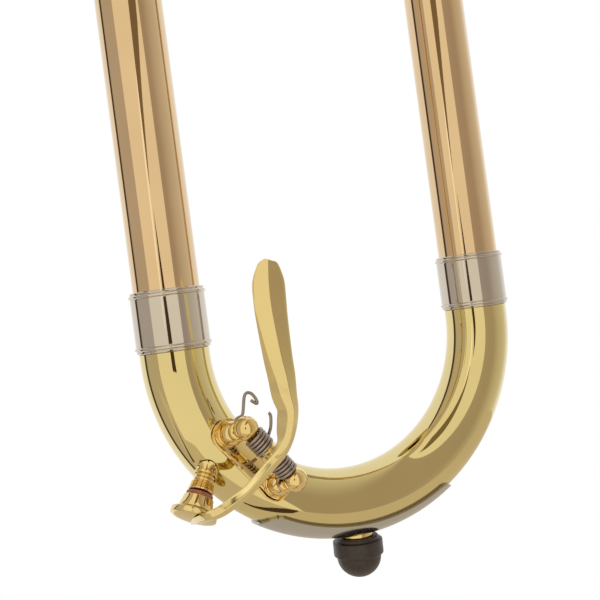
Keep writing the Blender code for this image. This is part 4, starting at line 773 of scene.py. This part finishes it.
def build_cup():
    """Cup over the nipple, slightly flared, with the cork in it."""
    foot, direction = nipple_frame()
    stand = standing(foot, direction)
    face = NIPPLE_HEIGHT + GAP
    back = face + CORK_THICKNESS
    outline = [(0.0, back), (CORK_RADIUS, back)]
    outline += arc((CORK_RADIUS - 0.0003, face + 0.0003), 0.0003, 0, -90, 4) + [(0.0, face)]
    dress(turned("cork_fine", outline, stand, False, 64), "key_cork")
    rim = CUP_BACK - CUP_DEPTH
    outline = [(0.0, CUP_BACK), (CUP_RADIUS - 0.0003, CUP_BACK)]
    outline += arc((CUP_RADIUS - 0.0003, CUP_BACK - 0.0003), 0.0003, 80, 0, 4)
    outline += [(CUP_RADIUS - 0.00005, CUP_BACK - 0.0009), (CUP_RIM_RADIUS + 0.0001, rim + 0.0008)]
    outline += arc((CUP_RIM_RADIUS - 0.0002, rim + 0.0002), 0.0002, 0, -90, 4)
    outline += [(CORK_RADIUS + 0.00012, rim), (CORK_RADIUS + 0.00012, back + GAP), (0.0, back + GAP)]
    dress(turned("cup_fine", outline, stand, False, 72), "key_cup")


def smooth_through(rows, steps):
    """Values on a smooth curve through rows of numbers."""
    ends = [rows[0]] + list(rows) + [rows[-1]]
    result = []
    for before, start, stop, after in zip(ends, ends[1:], ends[2:], ends[3:]):
        for i in range(steps):
            t = i / steps
            result.append([0.5 * (2 * b + (c - a) * t + (2 * a - 5 * b + 4 * c - d) * t * t
                                  + (3 * b - a - 3 * c + d) * t ** 3)
                           for a, b, c, d in zip(before, start, stop, after)])
    result.append(list(rows[-1]))
    return result


def rounded(corners, reaches):
    """Closed outline with every corner turned into a short arc, and points along its sides."""
    starts = []
    stops = []
    for k, (corner, reach) in enumerate(zip(corners, reaches)):
        here = Vector(corner)
        for beside, ends in ((corners[k - 1], starts), (corners[(k + 1) % len(corners)], stops)):
            side = Vector(beside) - here
            ends.append(here + side * min(0.42, reach / max(side.length, 1e-6)))
    points = []
    for k, corner in enumerate(corners):
        here = Vector(corner)
        for t in (0, 0.25, 0.5, 0.75, 1):
            points.append(starts[k] * (1 - t) ** 2 + here * (2 * t * (1 - t)) + stops[k] * t * t)
        onward = starts[(k + 1) % len(corners)]
        points += [stops[k].lerp(onward, share) for share in (0.12, 0.5, 0.88)]
    return points


def lever_section(width, thickness, side):
    """Section of the lever: a roof with a ridge, a side face on its left and a hollowed back."""
    corners = [(x * width, y * thickness) for x, y in LEVER_SHAPE]
    left, back = corners[0], corners[-1]
    low = (left[0] - side * math.cos(LEVER_SIDE_SLOPE), left[1] - side * math.sin(LEVER_SIDE_SLOPE))
    corners += [((back[0] + low[0]) / 2, (back[1] + low[1]) / 2 + LEVER_HOLLOW * thickness), low]
    ease = min(1.0, thickness / 0.001)
    return rounded(corners, [ease * reach for reach in LEVER_ROUNDING])


def build_lever():
    """Strap and finger plate, hinge tube, its boss and web, and the round pad over the cup."""
    rows = smooth_through([[*(value * MM for value in (*place, *sizes)), *facing]
                           for place, *sizes, facing in LEVER_COURSE], LEVER_STEPS)
    shape = bmesh.new()
    rings = []
    for i, row in enumerate(rows):
        centre = HINGE_MIDDLE + Vector(row[:3])
        along = (Vector(rows[min(len(rows) - 1, i + 1)][:3]) - Vector(rows[max(0, i - 1)][:3])).normalized()
        facing = Vector(row[6:])
        up = (facing - along * facing.dot(along)).normalized()
        across = along.cross(up)
        rings.append([shape.verts.new(centre + across * x + up * y) for x, y in lever_section(*row[3:6])])
    for first, second in zip(rings, rings[1:]):
        bridged(shape, first, second)
    shape.faces.new(rings[0][::-1])
    shape.faces.new(rings[-1])
    dress(piece("lever_strap", shape, 28), "key_lever")
    reach = (POST_SPACING - 2 * BALL_RADIUS) / 2 - GAP
    boss = HINGE_BOSS_LENGTH / 2
    bore = ROD_RADIUS + GAP
    tube, wide = HINGE_TUBE_RADIUS, HINGE_BOSS_RADIUS
    half = [(bore, reach), (tube - 0.0001, reach), (tube, reach - 0.0001)]
    half += [(tube, boss), (wide - 0.0002, boss), (wide, boss - 0.0002)]
    outline = half + [(radius, -height) for radius, height in half[::-1]]
    dress(turned("lever_hinge_tube", outline, standing(HINGE_MIDDLE, HINGE), True, 64), "key_lever")
    web = bmesh.new()
    bmesh.ops.create_cube(web, size=1.0)
    for vertex in web.verts:
        flare = WEB_FLARE if vertex.co.z > 0 else 1.0
        x, y, z = vertex.co
        vertex.co = Vector((x * HINGE_BOSS_LENGTH * flare, y * WEB_WIDTH * flare, z * WEB_HEIGHT))
    web_piece = piece("lever_web", web)
    web_piece.data.transform(standing(HINGE_MIDDLE + KEY_UPWARD * WEB_PLACE, KEY_UPWARD, HINGE))
    soften(web_piece, 0.0004, 4)
    dress(web_piece, "key_lever")
    foot, direction = nipple_frame()
    base = CUP_BACK + GAP
    top = base + PAD_THICKNESS
    outline = [(0.0, top)] + domed(PAD_RADIUS, top - PAD_DOME, PAD_DOME, [90 - 7.5 * i for i in range(1, 13)])
    outline += arc((PAD_RADIUS - 0.0003, base + 0.0003), 0.0003, 0, -80, 4) + [(0.0, base)]
    dress(turned("lever_pad", outline, standing(foot, direction), False, 80), "key_lever")


def coil(sign, start):
    """Turns of a spring's wire from the lever's boss outward."""
    mean = HINGE_TUBE_RADIUS + 0.00015 + SPRING_WIRE / 2
    inner_end = HINGE_BOSS_LENGTH / 2 + 0.0001 + SPRING_WIRE / 2
    points = []
    for i in range(SPRING_TURNS * SPRING_POINTS + 1):
        turn = start + 2 * math.pi * i / SPRING_POINTS
        ray = KEY_UPWARD * math.cos(turn) - KEY_OUTSIDE * math.sin(turn)
        along = sign * (inner_end + SPRING_PITCH * i / SPRING_POINTS)
        points.append(HINGE_MIDDLE + HINGE * along + ray * mean)
    return points


def build_springs():
    """Two close-wound torsion springs; the upper one's free leg rises past its post and ends in a hook."""
    legs = [[HINGE_MIDDLE + Vector((x, depth, z)) * MM for x, z in leg]
            for leg, depth in ((INNER_LEG, INNER_LEG_DEPTH), (OUTER_LEG, OUTER_LEG_DEPTH))]
    upper = legs[0] + coil(-1, UPPER_START) + legs[1]
    lower = coil(1, SPRING_START)
    backward = (lower[0] - lower[1]).normalized()
    onward = (lower[-1] - lower[-2]).normalized()
    lower = ([lower[0] + backward * share for share in LOWER_INNER_LEG] + lower
             + [lower[-1] + onward * share for share in LOWER_OUTER_LEG])
    wire("spring_upper_wire", upper, SPRING_WIRE / 2, "key_spring_upper", "outer_slide")
    wire("spring_lower_wire", lower, SPRING_WIRE / 2, "key_spring_lower", "outer_slide")


# Bell section

def bell_radius(height):
    """Outer radius of the bell, which follows a power of the distance past its mouth."""
    mouth = BELL_MOUTH_RADIUS - RIM_BEAD_RADIUS
    shift = BELL_LENGTH / ((mouth / BELL_TAIL_RADIUS) ** (1 / BELL_FLARE) - 1)
    return mouth * (shift / (height + shift)) ** BELL_FLARE


def bell_side(height, depth):
    """Point of the bell's outline at a depth under its outer skin."""
    step = 0.00001
    slope = (bell_radius(height + step) - bell_radius(height - step)) / (2 * step)
    length = math.hypot(1.0, slope)
    return bell_radius(height) - depth / length, height + depth * slope / length


def bell_heights(top, bottom, count):
    """Heights of the bell's rings, closer together toward the mouth."""
    growth = (top - bottom) / 0.012
    shares = [1 - i / count for i in range(count + 1)]
    return [bottom + (top - bottom) * ((1 + growth) ** share - 1) / growth for share in shares]


def build_bell():
    """Flare with its wired rim, and stem."""
    centre = (BELL_MOUTH_RADIUS - RIM_BEAD_RADIUS, RIM_BEAD_RADIUS)
    top = BELL_SEAM - GAP / 2
    widest = centre[0] - RIM_BEAD_RADIUS * 0.75
    heights = [z for z in bell_heights(top, 0.0006, 70) if bell_radius(z) < widest]
    inside = [bell_side(z, BELL_WALL) for z in heights]
    inside[0] = (inside[0][0], top)
    outline = [(bell_radius(z), z) for z in heights] + arc(centre, RIM_BEAD_RADIUS, 120, -120, 20)
    outline += inside[::-1]
    dress(turned("bell_flare_fine", outline, standing(BELL_AXIS), True, BELL_FINE), "bell_flare")
    heights = bell_heights(BELL_LENGTH, BELL_SEAM + GAP / 2, 40)
    inside = [(bell_side(z, BELL_WALL)[0], z) for z in heights]
    outline = [(bell_radius(z), z) for z in heights] + inside[::-1]
    dress(turned("bell_stem_fine", outline, standing(BELL_AXIS), True, BELL_FINE), "bell_stem")


def build_tuning_bow():
    """Tuning bow, which widens from the neck's leg to the bell's."""
    low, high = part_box("tuning_bow")
    neck, wide = TUNING_BOW_RADII
    radius = (BELL_AXIS.y - LEFT_LEG.y) / 2
    centre = Vector((0.0, LEFT_LEG.y + radius, high.z - radius - (neck + wide) / 2))
    points = [Vector((0.0, LEFT_LEG.y, low.z))]
    radii = [neck]
    for i in range(BOW_STEPS + 1):
        angle = math.pi * i / BOW_STEPS
        points.append(centre + Vector((0.0, -radius * math.cos(angle), radius * math.sin(angle))))
        radii.append(neck + (wide - neck) * i / BOW_STEPS)
    points.append(Vector((0.0, BELL_AXIS.y, low.z)))
    radii.append(wide)
    dress(swept("tuning_bow_fine", points, radii, Vector((1, 0, 0)), 72, TUNING_BOW_WALL), "tuning_bow")


def refine_turned():
    """Fine versions of the plainly turned pieces."""
    by_axis = (
        (LEFT_LEG, ("outer_tube_left", "slide_collar_left", "inner_tube_left", "cork_barrel_left",
                    "barrel_felt_left", "slide_tenon", "bell_lock_nut", "bell_receiver", "neckpipe",
                    "joint_ferrule_neck", "tuning_sleeve_neck", "tuning_leg_neck", "bow_ferrule_neck")),
        (RIGHT_LEG, ("outer_tube_right", "slide_collar_right", "inner_tube_right", "cork_barrel_right",
                     "barrel_felt_right", "mouthpiece_receiver", "leadpipe", "mouthpiece")),
        (BELL_AXIS, ("joint_ferrule_bell", "tuning_sleeve_bell", "tuning_leg_bell", "bow_ferrule_bell")),
    )
    for place, nodes in by_axis:
        for node in nodes:
            refined(node, place)
    for axis, nodes in ((Vector((1, 0, 0)), ("outer_brace_tube", "inner_brace_tube")),
                        (Vector((0, 1, 0)), ("low_brace_tube", "high_brace_tube"))):
        for node in nodes:
            refined(node, box_middle(node), axis, 48)


# Studio

# Front panel: a band round the left leg, from and to in degrees
PANEL_RADIUS = 0.215
PANEL_HALF_HEIGHT = 0.75
PANEL_FROM = -71
PANEL_TO = 17.6
PANEL_STEPS = 24
PANEL_LIGHT = (1.0, 0.925, 0.77)

# Room that the metal mirrors: its light by degrees round the piece, from the near side toward +X
BACK_LIGHT = (1.0, 0.98, 0.95)
FAR_LEFT_LIGHT = (0.58, 0.515, 0.455)
FAR_RIGHT_LIGHT = (0.475, 0.395, 0.325)
ROOM_SHADE = (0.06, 0.04, 0.025)
ROOM_LIGHT = (
    (-180, BACK_LIGHT), (-133, BACK_LIGHT), (-130, ROOM_SHADE), (-123, ROOM_SHADE),
    (-119, FAR_LEFT_LIGHT), (-60, FAR_LEFT_LIGHT), (15, FAR_RIGHT_LIGHT), (30, FAR_RIGHT_LIGHT),
    (52, (0.62, 0.56, 0.47)), (76, (0.72, 0.66, 0.56)), (91, (0.78, 0.7644, 0.741)),
    (104, BACK_LIGHT), (180, BACK_LIGHT),
)

# Dark card that darkens the left of the bow: rows of (height, half width)
CARD_SHADE = (0.075, 0.046, 0.028)
LENS_CARD_PLACE = LEFT_LEG + Vector((-0.061, -0.153, 0.0))
LENS_CARD_SIDE = Vector((0.9, -0.43, 0.0))
LENS_CARD_ROWS = ((-0.412, 0.0165), (-0.388, 0.0150), (-0.365, 0.0090), (-0.342, 0.0006))

# Cards above the bow's right end: rows of (from, to, height) in degrees as seen from there
HIGH_PLACE = Vector((0.0772, -0.106, -0.408))
HIGH_REACH = 0.19
HIGH_CARDS = (
    ("high_strip", (1.30, 1.25, 1.15),
     ((-52.5, -51.5, 6), (-53.5, -50.0, 14), (-51.5, -47.5, 26), (-47.5, -46.5, 34))),
    ("high_shade", (0.24, 0.175, 0.10),
     ((-47.5, -46.5, 22), (-46.5, -38.0, 32), (-46.0, -26.0, 42), (-46.0, -20.0, 52), (-44.0, -20.0, 60))),
)

# Table top that the bow's lower side mirrors, as rows of (x, near edge, far edge) from the left leg, and
# the dark strips on it, as rows of (x, y, half width)
TABLE_LEVEL = -0.557
TABLE_LIGHT = (0.68, 0.59, 0.48)
TABLE_ROWS = (
    (-0.80, 0.030, 0.040), (-0.30, -0.157, 0.0), (-0.17, -0.148, 0.03), (-0.12, -0.130, 0.05),
    (0.02, -0.145, 0.30), (0.15, -0.20, 0.30), (0.40, -0.20, 0.20),
)
STRIP_LEVEL = TABLE_LEVEL + 0.001
TABLE_STRIPS = (
    ((-0.050, -0.112, 0.002), (-0.030, -0.130, 0.008), (0.002, -0.186, 0.016), (0.026, -0.224, 0.016),
     (0.046, -0.256, 0.003)),
    ((-0.350, -0.188, 0.001), (-0.310, -0.173, 0.003), (-0.196, -0.123, 0.007), (-0.140, -0.083, 0.012)),
)

# Floor, which lies below the fully extended slide
FLOOR_LEVEL = -0.93
FLOOR_RADIUS = 3.0
FLOOR_FADE = {"From Min": 0.35, "From Max": 1.3}


def by_ray(make, kind, others, chosen):
    """Mix that shows one shader to a kind of ray and the other to all other rays."""
    ray = make("ShaderNodeLightPath").outputs[kind]
    return make("ShaderNodeMixShader", {0: ray, 1: others, 2: chosen})


def backdrop(name, shape, skin):
    """Flat piece of the studio from a bmesh."""
    mesh = bpy.data.meshes.new(name)
    shape.to_mesh(mesh)
    shape.free()
    mesh.materials.append(skin)
    return put(name, mesh)


def card(name, rows, colour, mirror_only=True):
    """Card between rows of two corners, unseen by the camera; most show only in mirror reflections."""
    skin, make = new_skin(name + "_skin")
    glow = make("ShaderNodeEmission", Color=(*colour, 1.0), Strength=1.0)
    shown = by_ray(make, "Is Camera Ray", glow, make("ShaderNodeBsdfTransparent"))
    make("ShaderNodeOutputMaterial", Surface=shown)
    shape = bmesh.new()
    columns = [[shape.verts.new(corner) for corner in row] for row in rows]
    for first, second in zip(columns, columns[1:]):
        shape.faces.new((first[0], second[0], second[1], first[1]))
    thing = backdrop(name, shape, skin)
    if mirror_only:
        thing.visible_shadow = False
        thing.visible_diffuse = False


def bearing(turn, height=0.0):
    """Direction in degrees: round from the near side toward +X, and up."""
    turn, height = math.radians(turn), math.radians(height)
    level = math.cos(height)
    return Vector((math.sin(turn) * level, -math.cos(turn) * level, math.sin(height)))


def build_studio():
    """Large front panel and the cards that the metal mirrors."""
    rows = []
    for i in range(PANEL_STEPS + 1):
        middle = LEFT_LEG + bearing(PANEL_FROM + (PANEL_TO - PANEL_FROM) * i / PANEL_STEPS) * PANEL_RADIUS
        rows.append((middle - UP * PANEL_HALF_HEIGHT, middle + UP * PANEL_HALF_HEIGHT))
    card("front_panel", rows, PANEL_LIGHT, False)
    card("lens_card", [[LENS_CARD_PLACE + LENS_CARD_SIDE * side + UP * height for side in (-half, half)]
                       for height, half in LENS_CARD_ROWS], CARD_SHADE, False)
    for name, colour, rows in HIGH_CARDS:
        card(name, [[HIGH_PLACE + bearing(turn, height) * HIGH_REACH for turn in (start, stop)]
                    for start, stop, height in rows], colour)
    card("table_card", [[LEFT_LEG + Vector((x, y, TABLE_LEVEL)) for y in (near, far)]
                        for x, near, far in TABLE_ROWS], TABLE_LIGHT)
    for number, rows in enumerate(TABLE_STRIPS):
        card("table_strip_%d" % (number + 1), [[Vector((x, y + side, STRIP_LEVEL)) for side in (-half, half)]
                                               for x, y, half in rows], CARD_SHADE)


def build_world():
    """White to the camera; to the metal a room that is pale behind the piece and dimmer before it."""
    world = bpy.data.worlds.new("studio")
    bpy.context.scene.world = world
    world.use_nodes = True
    make = maker(world.node_tree)
    split = make("ShaderNodeSeparateXYZ", Vector=make("ShaderNodeTexCoord").outputs["Generated"])
    flip = make("ShaderNodeMath", {0: split.outputs["Y"], 1: -1.0}, operation="MULTIPLY")
    turn = make("ShaderNodeMath", {0: split.outputs["X"], 1: flip}, operation="ARCTAN2")
    whole = {"From Min": -math.pi, "From Max": math.pi}
    share = make("ShaderNodeMapRange", {"Value": turn, **whole})
    bands = ramp(make, share, *[((degrees + 180) / 360, colour) for degrees, colour in ROOM_LIGHT])
    room = make("ShaderNodeBackground", Color=bands, Strength=1.0)
    white = make("ShaderNodeBackground", Color=(1.0, 1.0, 1.0, 1.0), Strength=1.0)
    soft = make("ShaderNodeBackground", Color=(0.95, 0.93, 0.90, 1.0), Strength=0.9)
    shown = by_ray(make, "Is Camera Ray", by_ray(make, "Is Glossy Ray", soft, room), white)
    make("ShaderNodeOutputWorld", Surface=shown)


def build_floor():
    """Pale floor that keeps the shadow near the piece and fades into the white beyond."""
    skin, make = new_skin("pale_floor")
    place = make("ShaderNodeTexCoord").outputs["Object"]
    length = make("ShaderNodeVectorMath", {0: place}, operation="LENGTH").outputs["Value"]
    fade = make("ShaderNodeMapRange", {**FLOOR_FADE, "Value": length}, interpolation_type="SMOOTHSTEP")
    ray = make("ShaderNodeLightPath").outputs["Is Camera Ray"]
    seen = make("ShaderNodeMath", {0: fade, 1: ray}, operation="MULTIPLY")
    paper = make("ShaderNodeBsdfDiffuse", Color=(0.95, 0.95, 0.95, 1.0))
    white = make("ShaderNodeEmission", Color=(1.0, 1.0, 1.0, 1.0), Strength=1.0)
    make("ShaderNodeOutputMaterial", Surface=make("ShaderNodeMixShader", {0: seen, 1: paper, 2: white}))
    shape = bmesh.new()
    bmesh.ops.create_circle(shape, cap_ends=True, segments=96, radius=FLOOR_RADIUS)
    floor = backdrop("floor", shape, skin)
    floor.location = (0.0, -0.05, FLOOR_LEVEL)
    floor.visible_glossy = False


def lamp(name, place, aim, size, power):
    """Soft box that lights the piece but shows no outline in the metal."""
    data = bpy.data.lights.new(name, "AREA")
    data.shape = "DISK"
    data.size = size
    data.energy = power
    thing = put(name, data)
    thing.matrix_world = standing(place, Vector(place) - Vector(aim))
    thing.visible_glossy = False


def build_camera():
    """Camera with the photograph's place, direction, roll and lens."""
    data = bpy.data.cameras.new("camera")
    data.lens = CAMERA_LENS
    data.clip_start = 0.01
    data.clip_end = 20.0
    forward = (CAMERA_AIM - CAMERA_PLACE).normalized()
    level = forward.cross(UP).normalized()
    down = forward.cross(level)
    right = level * math.cos(CAMERA_ROLL) + down * math.sin(CAMERA_ROLL)
    above = right.cross(forward)
    turn = Matrix((right, above, -forward)).transposed().to_4x4()
    camera = put("camera", data)
    camera.matrix_world = Matrix.Translation(CAMERA_PLACE) @ turn
    bpy.context.scene.camera = camera


for own_node, own_thing in NODES.items():
    paint(own_thing, own_node)
build_crook()
build_ferrule("slide_ferrule_left", LEFT_LEG)
build_ferrule("slide_ferrule_right", RIGHT_LEG)
build_guard()
build_bumper()
build_saddle()
build_rod()
build_nipple()
build_cup()
build_lever()
build_springs()
build_bell()
build_tuning_bow()
refine_turned()
build_studio()
build_world()
build_floor()
lamp("key_light", (-0.9, -1.2, 0.9), (0.0, -0.1, -0.2), 0.9, 14.0)
lamp("top_light", (0.3, 0.3, 1.6), (0.0, -0.05, 0.0), 1.0, 16.0)
build_camera()
bpy.context.scene.view_settings.view_transform = "Standard"
